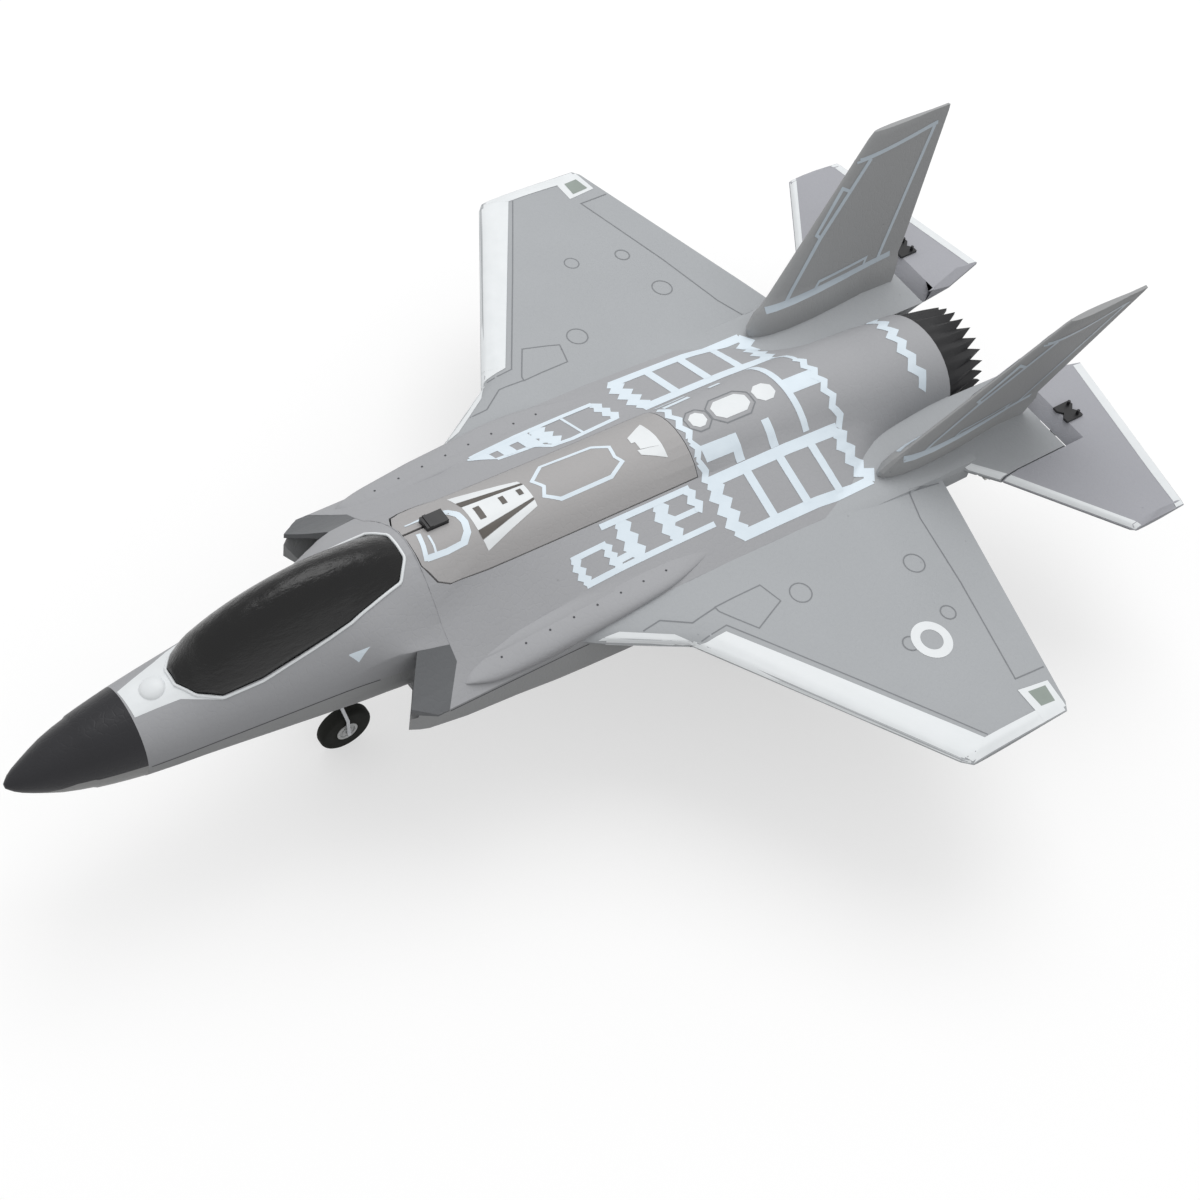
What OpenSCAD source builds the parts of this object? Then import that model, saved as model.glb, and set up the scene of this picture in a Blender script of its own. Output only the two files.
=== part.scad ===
// Twin-motor foam jet for radio control, with moving elevators, a battery hatch and a wheeled undercarriage.
// Stations run aft from the nose tip along +Y, +X is the port side and heights are counted from the wing plane.
// placed() then puts the middle of the aircraft over the origin, with its wheels on the ground plane.

/* [Airframe] */
// Length of the aircraft, from the nose tip to the elevators' inner trailing corners
overall_length = 425; // [410:1:440]
// Half of the wing span
half_span = 147.5; // [135:0.5:160]
// Height of the wing plane over the ground
ride_height = 74.6; // [72:0.1:84]
// Gap between foam pieces that come apart or move
seam_gap = 0.3; // [0.2:0.05:0.6]

/* [Nose and canopy] */
// Station of the joint between the nose cone and the forebody
cone_length = 40; // [34:1:46]
// Height of the moulded step ring round the nose cone
cone_step = 0.35; // [0.2:0.05:0.8]
// Height of the canopy's highest point over the wing plane
canopy_top = 34.5; // [32:0.5:37]
// Half width of the canopy's outline
canopy_half = 13.3; // [12:0.1:14.5]

/* [Fuselage] */
// Half width of the fuselage between the wing roots
body_half = 45; // [42:0.5:47]
// Height of the spine behind the canopy
spine_top = 28.6; // [27:0.2:31]
// Depth of the belly under the wing plane
belly_depth = 26.5; // [25:0.5:29]
// Height of the joint between the upper and lower fuselage mouldings
split_height = -3.3; // [-4:0.1:-2.5]
// Station of the fuselage's round tail end
barrel_end = 364; // [358:1:368]
// Radius of the round tail end
barrel_radius = 22.3; // [21:0.1:23.5]
// Height of the tail end's axis
barrel_axis = -4.2; // [-5:0.1:-3]

/* [Intakes] */
// Depth of the intake recess behind the lip
duct_depth = 36; // [24:1:40]
// Wall of the intake lip
lip_wall = 2.6; // [2:0.1:3.2]

/* [Battery bay] */
// Half width of the hatch
hatch_half = 16.4; // [15:0.1:17]
// Length of the hatch
hatch_length = 107.6; // [98:0.2:110]
// Height of the ledge that the hatch rests on
hatch_ledge = 13.5; // [11:0.5:15]
// Half width of the bay under the hatch
bay_half = 14; // [13:0.5:15]
// Height of the bay's floor
bay_floor = -19; // [-21:0.5:-17]
// Length, width and height of the battery
battery_size = [25, 52, 13]; // [10:1:60]
// Length, width and height of the receiver board
board_size = [22, 28, 1.2]; // [1:0.2:30]

/* [Wings] */
// Wing thickness at the root
root_thickness = 12; // [10:0.5:13]
// Wing thickness at the tip
tip_thickness = 4.6; // [3.5:0.1:6]
// Length of the tip chord
tip_chord = 45; // [40:1:50]
// Diameter of the wing spar
spar_diameter = 3; // [2:0.5:4]
// Length of the wing spar
spar_length = 210; // [190:1:230]

/* [Tail] */
// Distance of the fins' roots from the centreline
fin_spacing = 38.6; // [37:0.1:40]
// Height of a fin, measured along its slope
fin_height = 68; // [60:1:72]
// Outward lean of a fin
fin_cant = 12.5; // [8:0.5:16]
// Thickness of a fin over its shoe
fin_thickness = 5; // [4:0.25:6]
// Half span of the tailplane
tail_half = 102.5; // [98:0.5:106]
// Thickness of the elevators and of the fixed tail roots
tail_thickness = 5.4; // [5:0.1:6]
// Distance of the cut between tail root and elevator from the centreline
cut_offset = 60.4; // [58:0.2:62]
// Station of the elevator hinge line
hinge_station = 392.5; // [391:0.5:394]

/* [Exhaust] */
// Number of pleats round the nozzle
petals = 24; // [18:2:30]
// Length of the nozzle from the tail end to the petal tips
nozzle_length = 21; // [18:0.5:22]
// Radius over the petal tips
nozzle_tip_radius = 17.3; // [16.5:0.1:18]
// Depth of a pleat at the tips
pleat_depth = 2.2; // [1.4:0.1:2.6]
// Wall of the nozzle
nozzle_wall = 1.1; // [0.9:0.1:1.4]

/* [Controls] */
// Distance of the pushrods from the centreline
rod_offset = 48.8; // [48.4:0.1:49.4]
// Lever length of servo arms and control horns
lever_length = 10; // [9:0.5:11]
// Diameter of the pushrod wire
rod_diameter = 1; // [0.8:0.1:1.2]
// Running clearance all round a wire or shaft in its hole
running_gap = 0.06; // [0.05:0.01:0.08]
// Length, along the aircraft, of a servo case
servo_length = 19; // [18:0.5:20]
// Height of a servo case lying on its side
servo_thickness = 8; // [7.5:0.1:8.4]
// Depth of a servo case across the aircraft
servo_depth = 17; // [16:0.5:18]

/* [Drive] */
// Distance of the motor pods from the centreline
pod_offset = 52; // [50:0.5:54]
// Height of the motor axes
pod_height = -36; // [-38:0.5:-35]
// Diameter of a motor
motor_diameter = 10; // [8:0.5:11]
// Length of a motor
motor_length = 20; // [18:1:22]
// Wall of a motor pod
pod_wall = 1.4; // [1.2:0.1:1.8]
// Diameter of a propeller
prop_diameter = 50; // [46:1:52]
// Diameter of a motor shaft
shaft_diameter = 1; // [0.8:0.1:1.2]

/* [Undercarriage] */
// Diameter of the tyres
tyre_diameter = 20; // [18:0.5:21]
// Width of the tyres
tyre_width = 5; // [4:0.25:6]
// Diameter of the wheel hubs
hub_diameter = 8; // [7:0.25:9]
// Diameter of the undercarriage wire
wire_diameter = 1.4; // [1.2:0.1:1.6]
// Station of the nose wheel
nose_wheel_station = 120; // [116:1:124]
// Station of the main wheels
main_wheel_station = 268; // [262:1:274]
// Distance of the main wheels from the centreline
track_half = 40; // [36:1:42]

/* [Hidden] */
LEFT = 1;
RIGHT = -1;
ROUND = 40;
EPS = 0.01;
BIG = 400;

// ---- Form tables: each row is [station, value], and smooth() runs a curve through the rows ----
cone_top = 8;
rim = 0.5;
// Half width of the nose and forebody
FORE_HALF = [[0, 1.2], [2, 3.2], [6, 5.5], [18, 10.4], [cone_length, 14.9], [60, 17], [85, 19.6], [110, 22.4], [130, 25.6], [150, 27]];
// Height of the nose and forebody along the centreline, under the canopy where that covers it
FORE_TOP = [[0, -5.9], [2, -4], [6, -1.8], [18, 3.2], [cone_length, cone_top], [60, 12], [80, 16], [110, 23.4],
            [138, spine_top], [150, spine_top - 0.2]];
// Height of the forebody's widest line
FORE_EDGE = [[0, -7], [18, -7.1], [cone_length, -7], [80, -5.4], [130, split_height + rim], [150, split_height + rim]];
// Height of the keel under the nose and forebody
FORE_KEEL = [[0, -8.1], [2, -9.9], [6, -12.4], [18, -17.3], [cone_length, -22.2], [60, -24], [90, 1 - belly_depth], [150, -belly_depth]];
// Height of the spine along the centreline
SPINE = [[138, spine_top], [200, spine_top - 2], [285, spine_top - 4.3], [330, spine_top - 7.4],
         [barrel_end, barrel_axis + barrel_radius]];
// Half width of the middle and rear fuselage
shoulder_end = 284;
BODY_HALF = [[118, body_half], [shoulder_end, body_half], [303, body_half - 6], [322, 28], [342, barrel_radius + 1.2],
             [barrel_end, barrel_radius]];
// Radius of the round spine, and half width at the crease where it meets the shoulders
ARCH_RADIUS = [[138, 18.4], [246, 19.6], [293, 21.6], [330, barrel_radius], [barrel_end, barrel_radius]];
CREASE_HALF = [[138, 16.2], [246, 16.6], [293, 17.4], [330, 19.6], [barrel_end, 20.6]];
// Share of the section's points that lie on the shoulder
crease_share = 0.5;
// Canopy: height along the centreline, and the half width that its arch would have at the forebody's widest line
CANOPY_TOP = [[55, 12], [60, 17], [66, 23.4], [82, canopy_top - 3.8], [102, canopy_top], [116, canopy_top - 0.8],
              [129, canopy_top - 3.8], [136, canopy_top - 6.4]];
CANOPY_ARCH = [[55, 9], [60, 11.9], [66, 13.6], [82, 15.2], [111, 16.6], [129, 18], [136, 19]];

function seg_of(t, v) = max([0, for (i = [1:len(t) - 2]) if (v >= t[i][0]) i]);
function rate(t, i) = let (a = max(i - 1, 0), b = min(i + 1, len(t) - 1)) (t[b][1] - t[a][1]) / (t[b][0] - t[a][0]);
function bend(p0, p1, m0, m1, u) =
    (1 + 2 * u) * (1 - u) ^ 2 * p0 + u * (1 - u) ^ 2 * m0 + u ^ 2 * (3 - 2 * u) * p1 + u ^ 2 * (u - 1) * m1;
function smooth(t, v) =
    let (i = seg_of(t, v), h = t[i + 1][0] - t[i][0], u = max(0, min(1, (v - t[i][0]) / h)))
    bend(t[i][1], t[i + 1][1], rate(t, i) * h, rate(t, i + 1) * h, u);
function mix(a, b, u) = a * (1 - u) + b * u;
function ramp(v, a, b) = let (u = max(0, min(1, (v - a) / (b - a)))) u * u * (3 - 2 * u);
function steps(a, b, n) = [for (i = [0:n]) mix(a, b, i / n)];

// Solid through closed rings of points, all with the same count, ordered clockwise seen from the first ring
module loft(rings) {
    n = len(rings[0]);
    m = len(rings);
    sides = [for (k = [0:m - 2], i = [0:n - 1])
        let (j = (i + 1) % n) each [
            [k * n + i, (k + 1) * n + i, (k + 1) * n + j],
            [k * n + i, (k + 1) * n + j, k * n + j]
        ]];
    caps = [[for (i = [0:n - 1]) i], [for (i = [n - 1:-1:0]) (m - 1) * n + i]];
    polyhedron(points = [for (r = rings) each r], faces = concat(sides, caps));
}

// Puts the aircraft's own stations and heights into the part's frame
module placed() {
    translate([0, -overall_length / 2, ride_height]) children();
}

module port_or_starboard(side) {
    if (side == LEFT) children();
    else mirror([1, 0, 0]) children();
}

// ---- Wing outline and section ----
strake_station = 181;
kink = [64, 211.5];
tip_le = 264.7;
root_te = 337.5;
WING_LE = [[body_half, strake_station], [49, 186.5], kink, [half_span, tip_le]];
function wing_le(x) = lookup(x, WING_LE);
function wing_te(x) = lookup(x, [[body_half, root_te], [half_span, tip_le + tip_chord]]);
function wing_mid(x) = lookup(x, [[body_half, -0.6], [67, -0.6], [half_span, -2]]);
function wing_thick(x) = lookup(x, [[body_half, root_thickness], [67, root_thickness - 1.8], [half_span, tip_thickness]]);
edge_thick = 1.1;
// Half thickness of an aerofoil at a share u of its chord, as a share of its full thickness
function foil(u) = 5 * (0.2969 * sqrt(u) - 0.126 * u - 0.3516 * u ^ 2 + 0.2843 * u ^ 3 - 0.1036 * u ^ 4);
FOIL_STEPS = [0, 0.012, 0.05, 0.12, 0.24, 0.4, 0.58, 0.78, 1];
function half_thick(u, t, edge = edge_thick) = max(foil(u) * t, edge / 2 * min(1, u * 40));
function foil_ring(le, te, t, edge = edge_thick) = concat(
    [for (u = FOIL_STEPS) [mix(le, te, u), half_thick(u, t, edge)]],
    [for (i = [len(FOIL_STEPS) - 1:-1:1]) [mix(le, te, FOIL_STEPS[i]), -half_thick(FOIL_STEPS[i], t, edge)]]);
function wing_ring(x) = [for (p = foil_ring(wing_le(x), wing_te(x), wing_thick(x))) [x, p[0], wing_mid(x) + p[1]]];
function wing_share(y) = max(0, min(1, (y - strake_station) / (root_te - strake_station)));
function root_upper(y) = wing_mid(body_half) + half_thick(wing_share(y), root_thickness);
function root_lower(y) = wing_mid(body_half) - half_thick(wing_share(y), root_thickness);

// ---- Fuselage sections ----
arch_steps = 20;
function fore_edge(y) = smooth(FORE_EDGE, y);
// The upper edge climbs and widens ahead of the intakes until it runs into the shoulders over their mouths
function fore_upper_ring(y) =
    let (w = smooth(FORE_HALF, y), e = fore_edge(y), t = smooth(FORE_TOP, y), p = 1 + 0.3 * ramp(y, 112, 138), s = ramp(y, 100, lip_mouth[1]),
         root = mix(lip_mouth[0], lip_seat[0], (y - lip_mouth[1]) / (lip_seat[1] - lip_mouth[1])), top = mix(w, root, s))
    concat([[0, y, e - rim], [-w, y, e - rim]],
        [for (i = [0:arch_steps]) let (q = 180 * i / arch_steps, x = -top * cos(q))
            [x, y, mix(e + (t - e) * sin(q) ^ p, lookup(abs(x), SHOULDER) - joint_drop, max(s * ramp(abs(x), 9, 20), ramp(y, 128, lip_back)))]],
        [[w, y, e - rim]]);
function fore_lower_ring(y) =
    let (w = smooth(FORE_HALF, y), e = fore_edge(y) - rim, k = smooth(FORE_KEEL, y), p = mix(1, 0.72, ramp(y, 40, 120)))
    concat([[0, y, e], [w, y, e]],
        [for (i = [1:arch_steps - 1]) let (q = 180 * i / arch_steps)
            [w * sign(cos(q)) * abs(cos(q)) ^ p, y, e - (e - k) * sin(q) ^ p]],
        [[-w, y, e]]);
function body_edge(y) = max(root_upper(y), split_height + 1) * ramp(y, 150, 196) + (split_height + 1) * (1 - ramp(y, 150, 196));
function body_side(y) = min(body_half, smooth(BODY_HALF, y));
// Height, at a distance x from the centreline, of a round spine of radius r whose top is at height t
function arch_height(x, r, t) = t - r + sqrt(max(0, r * r - x * x));
// Half of the skin from the wing root up to the centreline: flat shoulder as far as the crease, then the round spine
function shoulder_half(y, w, e, t) =
    let (r = smooth(ARCH_RADIUS, y), c = smooth(CREASE_HALF, y), z = arch_height(c, r, t))
    [for (i = [0:arch_steps / 2]) let (u = 2 * i / arch_steps, s = min(1, u / crease_share), a = max(0, u - crease_share) / (1 - crease_share))
        a > 0 ? [c * (1 - a), arch_height(c * (1 - a), r, t)] : [mix(w, c, s), mix(e, z, s)]];
// The smooth arch ahead of the shoulders
function swept_half(w, e, t) =
    [for (i = [0:arch_steps / 2]) let (q = 180 * i / arch_steps)
        [w * cos(q), e + (t - e) * max(0, cos(90 * cos(q))) ^ 1.7]];
function barrel_half(w, e, t) =
    [for (i = [0:arch_steps / 2]) let (q = 180 * i / arch_steps) [w * cos(q), e + (t - e) * sin(q)]];
function body_upper_ring(y) =
    let (w = body_side(y), e = mix(body_edge(y), barrel_axis + 1, ramp(y, 318, 350)), t = smooth(SPINE, max(y, 138)),
         a = swept_half(w, e, t), b = shoulder_half(y, w, e, t), c = barrel_half(w, e, t),
         f = ramp(y, 112, 165), g = ramp(y, 318, 352),
         half = [for (i = [0:arch_steps / 2]) mix(mix(a[i], b[i], f), c[i], g)], n = arch_steps / 2)
    concat([[0, y, split_height], [-w, y, split_height]],
        [for (p = half) [-p[0], y, p[1]]],
        [for (i = [n - 1:-1:0]) [half[i][0], y, half[i][1]]],
        [[w, y, split_height]]);
function body_lower_edge(y) = mix(split_height - 1, min(root_lower(y), split_height - 1), ramp(y, 150, 196) * (1 - ramp(y, 300, 330)));
function body_lower_ring(y) =
    let (w = body_side(y), e = mix(body_lower_edge(y), barrel_axis, ramp(y, 330, 350)),
         k = mix(-belly_depth, barrel_axis - barrel_radius, ramp(y, 300, barrel_end)), p = mix(0.57, 1, ramp(y, 300, barrel_end)))
    concat([[0, y, split_height], [w, y, split_height]],
        [for (i = [0:arch_steps]) let (q = 180 * i / arch_steps)
            [w * sign(cos(q)) * abs(cos(q)) ^ p, y, e - (e - k) * sin(q) ^ p]],
        [[-w, y, split_height]]);

lip_back = 138.3;
lip_mouth = [27.4, 127.3];
lip_seat = [29.4, lip_back];
lip_apex = [40.2, 117.9];
lip_corner = [body_half, 125.2];
lip_heel = [body_half, 129.5];
lip_inner_back = [34.2, lip_back];
body_start = 112;
FORE_STATIONS = [cone_length, 50, 60, 70, 82, 96, 104, 110, 116, 122, lip_mouth[1], 133, lip_back + 0.6];
// Step of the skin down to the forebody where the two meet
joint_drop = 0.15;
// Half of the skin's section at the back of the intake lips
SHOULDER = [for (p = body_upper_ring(lip_back)) if (p[0] >= 0 && p[2] > split_height) [p[0], p[2]]];
BODY_STATIONS = [body_start, 138, 160, 174, 188, 204, 224, 246, 266, shoulder_end, 303, 316, 328, 340, 352, barrel_end];

// The point a little beyond b on the line from a
function beyond(a, b) = b + (b - a) / (b[0] - a[0]);
function mirrored(points) = concat(points, [for (i = [len(points) - 1:-1:0]) [-points[i][0], points[i][1]]]);

// Plan outline of the middle fuselage, whose front edge follows the back of the intake lips
module body_plan() {
    polygon(mirrored([lip_inner_back, beyond(lip_inner_back, lip_heel), [body_half + 1, BIG]]));
}

module body_upper_form() {
    intersection() {
        loft([for (y = BODY_STATIONS) body_upper_ring(y)]);
        translate([0, 0, -10]) linear_extrude(60) body_plan();
    }
}

module body_lower_form() {
    intersection() {
        loft([for (y = BODY_STATIONS) body_lower_ring(y)]);
        translate([0, 0, -50]) linear_extrude(60) body_plan();
    }
}

// ---- Intakes ----
lip_slope = (lip_apex[1] - lip_mouth[1]) / (lip_apex[0] - lip_mouth[0]);
lip_inner = [20, lip_mouth[1] + lip_slope * (20 - lip_mouth[0])];

// Section of the intake recess, seen along the aircraft
module duct_section() {
    polygon([[27.4, 4.8 - lip_wall / 2], [29.5, 7 - lip_wall], [43 - lip_wall / 2, -3.4], [44.2 - lip_wall, -6],
             [35.2 - lip_wall, 1.6 - belly_depth + lip_wall / 2], [23, 3.4 - belly_depth + lip_wall / 2],
             [26, -14], [27.2, -4]]);
}

module duct_cut() {
    for (side = [0, 1]) mirror([side, 0, 0])
        translate([0, lip_back + duct_depth, 0]) rotate([90, 0, 0]) linear_extrude(lip_back + duct_depth - 110) duct_section();
}

module fore_upper_form() {
    loft([for (y = FORE_STATIONS) fore_upper_ring(y)]);
}

module fore_lower_form() {
    loft([for (y = FORE_STATIONS) fore_lower_ring(y)]);
}

module lip_band() {
    polygon([lip_seat, lip_mouth, lip_apex, lip_corner, lip_heel, lip_inner_back]);
}

// Dark band over the top of an intake mouth, swept forward to its outer corner
module intake_lip(side) {
    color("#55585d") placed() port_or_starboard(side) difference() {
        intersection() {
            loft([for (y = [body_start, lip_back + 1]) body_upper_ring(y)]);
            translate([0, 0, -10]) linear_extrude(60) lip_band();
        }
        duct_cut();
        translate([0, EPS, 0]) loft([for (y = FORE_STATIONS) if (y > 90) fore_upper_ring(y)]);
        translate([0, EPS, 0]) loft([for (y = FORE_STATIONS) if (y > 90) fore_lower_ring(y)]);
    }
}

// ---- Canopy, hatch and bay ----
canopy_front = 56;
canopy_back = 134.5;
seat_front = 2;
seat_rise = 15;
module canopy_plan(gap) {
    h = canopy_half - gap;
    half = [[3, canopy_front + gap], [h - 5, 60], [h - 1.3, 67], [h, 80], [h, 111], [h - 2.7, 130], [5, canopy_back - gap]];
    polygon(concat(half, [for (i = [len(half) - 1:-1:0]) [-half[i][0], half[i][1]]]));
}

// Everything over the canopy's tilted seat
module over_seat(gap) {
    translate([0, canopy_front, seat_front + gap]) rotate([atan(seat_rise / (canopy_back - canopy_front)), 0, 0])
        translate([-30, -10, 0]) cube([60, 110, 60]);
}

function canopy_ring(y) =
    let (w = smooth(CANOPY_ARCH, y), e = fore_edge(y), t = smooth(CANOPY_TOP, y))
    concat([[0, y, e - 4], [-w, y, e - 4]],
        [for (i = [0:arch_steps]) let (q = 180 * i / arch_steps) [-w * cos(q), y, e + (t - e) * sin(q)]],
        [[w, y, e - 4]]);

module canopy() {
    color("#1d1f21") placed() intersection() {
        loft([for (y = [54, 58, 62, 67, 74, 83, 93, 104, 115, 125, 136]) canopy_ring(y)]);
        translate([0, 0, -5]) linear_extrude(60) canopy_plan(seam_gap / 2);
        over_seat(0);
    }
}

hatch_front = 138.6;
hatch_back = hatch_front + hatch_length;
hatch_corner = 7;
hatch_pivot_height = smooth(SPINE, hatch_back) + 0.4;
bay_margin = 3.5;
bay_front = hatch_front + bay_margin;
bay_back = hatch_back - bay_margin;
// The hatch's front face leans back by this angle, so that the hatch swings up clear of its frame
hatch_draft = 3;
module hatch_plan(gap, longer = 0) {
    h = hatch_half - gap;
    back = hatch_back - gap + longer;
    polygon([[-h + hatch_corner, hatch_front + gap], [h - hatch_corner, hatch_front + gap], [h - 1.6, hatch_front + 3 + gap],
             [h, hatch_front + hatch_corner], [h, back], [-h, back], [-h, hatch_front + hatch_corner],
             [1.6 - h, hatch_front + 3 + gap]]);
}

tab_size = [5.2, 8, 3.4];
tab_station = hatch_front + 8;
tab_side = -2.6;
slit_width = 0.9;
tab_rise = 1.6;
tab_gap = 0.1;
module tab_place(grow) {
    translate([tab_side - tab_size[0] / 2 - grow, tab_station - grow, spine_top - tab_size[2] + tab_rise - 0.6 - grow])
        cube([tab_size[0] + 2 * grow, tab_size[1] + 2 * grow, tab_size[2] + 10 * grow]);
}

module battery_hatch() {
    color("#a8abae") placed() difference() {
        intersection() {
            body_upper_form_long();
            translate([0, 0, hatch_ledge]) linear_extrude(40) hatch_plan(seam_gap);
            translate([0, hatch_front, spine_top]) rotate([hatch_draft, 0, 0]) translate([0, -hatch_front, -40])
                linear_extrude(60) hatch_plan(seam_gap, 20);
        }
        tab_place(tab_gap);
        translate([tab_side - slit_width / 2, hatch_front - 1, spine_top - 3]) cube([slit_width, tab_station - hatch_front + 1.5, 10]);
    }
}

// The same skin as the middle fuselage, carried forward under the hatch's front edge
module body_upper_form_long() {
    loft([for (y = [for (s = BODY_STATIONS) if (s < hatch_back + 21 && s != 138) s]) body_upper_ring(y)]);
}

module hatch_tab() {
    color("#18191b") placed() {
        tab_place(0);
        translate([tab_side - tab_size[0] / 2, tab_station + 1, spine_top + tab_rise - 1.2]) cube([tab_size[0], 1.2, 1]);
    }
}

module bay_cut() {
    translate([-bay_half, bay_front, bay_floor]) cube([2 * bay_half, bay_back - bay_front, 60]);
}

module battery() {
    b = battery_size;
    color("#2b5fa8") placed() translate([-b[0] / 2, bay_front + 6, bay_floor]) {
        cube(b);
        translate([b[0] / 2 - 5, b[1], b[2] / 2 - 3]) cube([10, 3, 6]);
    }
}

module receiver_board() {
    b = board_size;
    color("#2f7a45") placed() translate([-b[0] / 2, bay_back - b[1] - 1, bay_floor]) {
        cube(b);
        translate([4, 5, b[2]]) cube([7, 7, 1.2]);
        translate([13, 6, b[2]]) cube([4.5, 3.2, 3.4]);
        for (i = [0:3]) translate([2.2 + i * 4.8, b[1] - 5.5, b[2]]) cube([3.8, 4.5, 4.2]);
    }
}

// ---- Fuselage mouldings ----
spar_station = 262;
spar_height = -0.5;
module spar_hole() {
    translate([-spar_length / 2 - seam_gap, spar_station, spar_height]) rotate([0, 90, 0])
        cylinder(d = spar_diameter + 2 * running_gap, h = spar_length + 2 * seam_gap, $fn = ROUND);
}

// Long low fairing along each shoulder, a row of short rings with round ends
blister = [35.8, 190, 2.6];
blister_size = [6, 51, 5.4];
function blister_ring(v) =
    let (s = sqrt(max(0.0004, 1 - v * v)))
    [for (i = [0:9]) let (q = -36 * i)
        [blister[0] + blister_size[0] * s * cos(q), blister[1] + blister_size[1] * v,
         max(split_height + 0.3, blister[2] + v * 2.4 + blister_size[2] * s * sin(q))]];

module blisters() {
    for (side = [LEFT, RIGHT]) port_or_starboard(side)
        loft([for (v = [-1, -0.93, -0.8, -0.6, -0.3, 0, 0.3, 0.6, 0.8, 0.93, 1]) blister_ring(v)]);
}

module fuselage_upper() {
    color("#9b9ea1") placed() difference() {
        union() {
            fore_upper_form();
            body_upper_form();
            blisters();
        }
        intersection() {
            translate([0, 0, -5]) linear_extrude(70) canopy_plan(0);
            over_seat(0);
        }
        translate([0, 0, hatch_ledge]) linear_extrude(40) hatch_plan(0);
        bay_cut();
        duct_cut();
        spar_hole();
    }
}

// Plan outline of the middle fuselage below the lips, whose front edge follows the mouth
module lower_plan() {
    polygon(mirrored([lip_inner, lip_apex, beyond(lip_apex, lip_corner), [body_half + 1, BIG]]));
}

module fuselage_lower() {
    color("#8d9093") placed() difference() {
        union() {
            difference() {
                fore_lower_form();
                translate([-40, 90, split_height]) cube([80, 80, 10]);
            }
            intersection() {
                loft([for (y = BODY_STATIONS) body_lower_ring(y)]);
                translate([0, 0, -50]) linear_extrude(60) lower_plan();
            }
        }
        bay_cut();
        duct_cut();
        gear_recesses();
    }
}

module nose_cone() {
    stations = [0, 0.8, 2, 4, 7, 11, 15, 20, 24, 25, 30, 35, cone_length];
    function step_at(y) = y >= 25 ? cone_step : 0;
    function grow(r, y, by) = let (c = [0, y, fore_edge(y)]) [for (p = r) let (d = p - c, n = max(norm(d), 0.001)) p + d * by / n];
    function ring(y) =
        let (e = fore_edge(y), w = smooth(FORE_HALF, y), t = smooth(FORE_TOP, y), k = smooth(FORE_KEEL, y), n = 2 * arch_steps)
        grow([for (i = [0:n - 1]) let (q = 360 * i / n, s = sin(q)) [-w * cos(q), y, e + (s > 0 ? t - e : e - k) * s]], y,
            step_at(y) - cone_step);
    color("#313336") placed() loft([for (y = stations) ring(y)]);
}

// ---- Exhaust nozzle: pleated petals with pointed ends ----
fold_steps = 4;
notch_depth = 5;
nozzle_root_radius = barrel_radius - 1;
function fold(q) = let (f = petals * q / 360, u = f - floor(f)) abs(2 * u - 1);
function petal_point(q, v, inset) =
    let (f = 1 - fold(q), l = nozzle_length - notch_depth * f, y = v * l, s = y / nozzle_length,
         r = mix(nozzle_root_radius, nozzle_tip_radius, s ^ 1.35) - (0.3 + pleat_depth * s) * f - inset)
    [r * sin(q), barrel_end + y, barrel_axis + s * 1.4 + r * cos(q)];
function petal_ring(v, inset) =
    let (n = petals * fold_steps) [for (i = [0:n - 1]) petal_point(360 * i / n, v, inset)];

// Closed tube through a loop of rings
module loop_loft(rings) {
    n = len(rings[0]);
    m = len(rings);
    faces = [for (k = [0:m - 1], i = [0:n - 1])
        let (j = (i + 1) % n, l = (k + 1) % m) each [
            [k * n + i, l * n + i, l * n + j],
            [k * n + i, l * n + j, k * n + j]
        ]];
    polyhedron(points = [for (r = rings) each r], faces = faces);
}

module exhaust_nozzle() {
    color("#2a2b2d") placed() loop_loft(concat(
        [for (v = [0, 0.3, 0.6, 0.85, 1]) petal_ring(v, 0)],
        [for (v = [0.985, 0.6, 0]) petal_ring(v, nozzle_wall)]));
}

// ---- Wing halves, each with its tail boom and fixed tail root ----
boom_start = 280;
boom_end = hinge_station - 1;
boom_in = 8;
boom_out = 50;
boom_floor = -8.5;
tail_mid = -0.5;
tail_floor = tail_mid - tail_thickness / 2;
groove_slope = 0.75;
function boom_top(y) = lookup(y, [[boom_start, 3.5], [290, 3.3], [306, 3.3], [350, 3.6], [391, 2.2]]);
function boom_edge(y) = lookup(y, [[boom_start, 48.4], [334, boom_out], [boom_end, boom_out]]);
function boom_ring(y, z_low) =
    let (a = boom_in, b = boom_edge(y), t = boom_top(y), c = 2.2)
    [[a, y, z_low], [a, y, t], [b - c * 1.5, y, t], [b - 0.4, y, t - c * 0.6], [b, y, t - c * 1.5],
     [b, y, z_low + c], [b - c, y, z_low]];

module tail_root() {
    // slab whose leading edge is swept and rounded, cut square along the elevator's inner edge
    function le(x) = mix(347, 355.7, (x - boom_out) / (cut_offset - boom_out));
    function ring(x) = let (t = tail_thickness / 2)
        [[x, le(x), tail_mid], [x, le(x) + 1.2, tail_mid + t * 0.6], [x, le(x) + 7, tail_mid + t],
         [x, boom_end - tail_thickness * groove_slope, tail_mid + t], [x, boom_end, tail_mid - t],
         [x, le(x) + 7, tail_mid - t], [x, le(x) + 1.2, tail_mid - t * 0.6]];
    loft([for (x = [cut_offset, 40]) ring(x)]);
}

module boom_form() {
    difference() {
        loft([for (y = [boom_start, 290, 300, 310, 334, 352, 373, boom_end])
            boom_ring(y, y > 380 ? tail_floor : boom_floor * ramp(y, boom_start - 20, 300))]);
        // the bevel of the hinge groove along the boom's rear edge
        translate([0, boom_end - tail_thickness * groove_slope, tail_mid + tail_thickness / 2]) rotate([-atan(1 / groove_slope), 0, 0])
            translate([-5, 0, -20]) cube([80, 20, 40]);
    }
}

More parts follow.
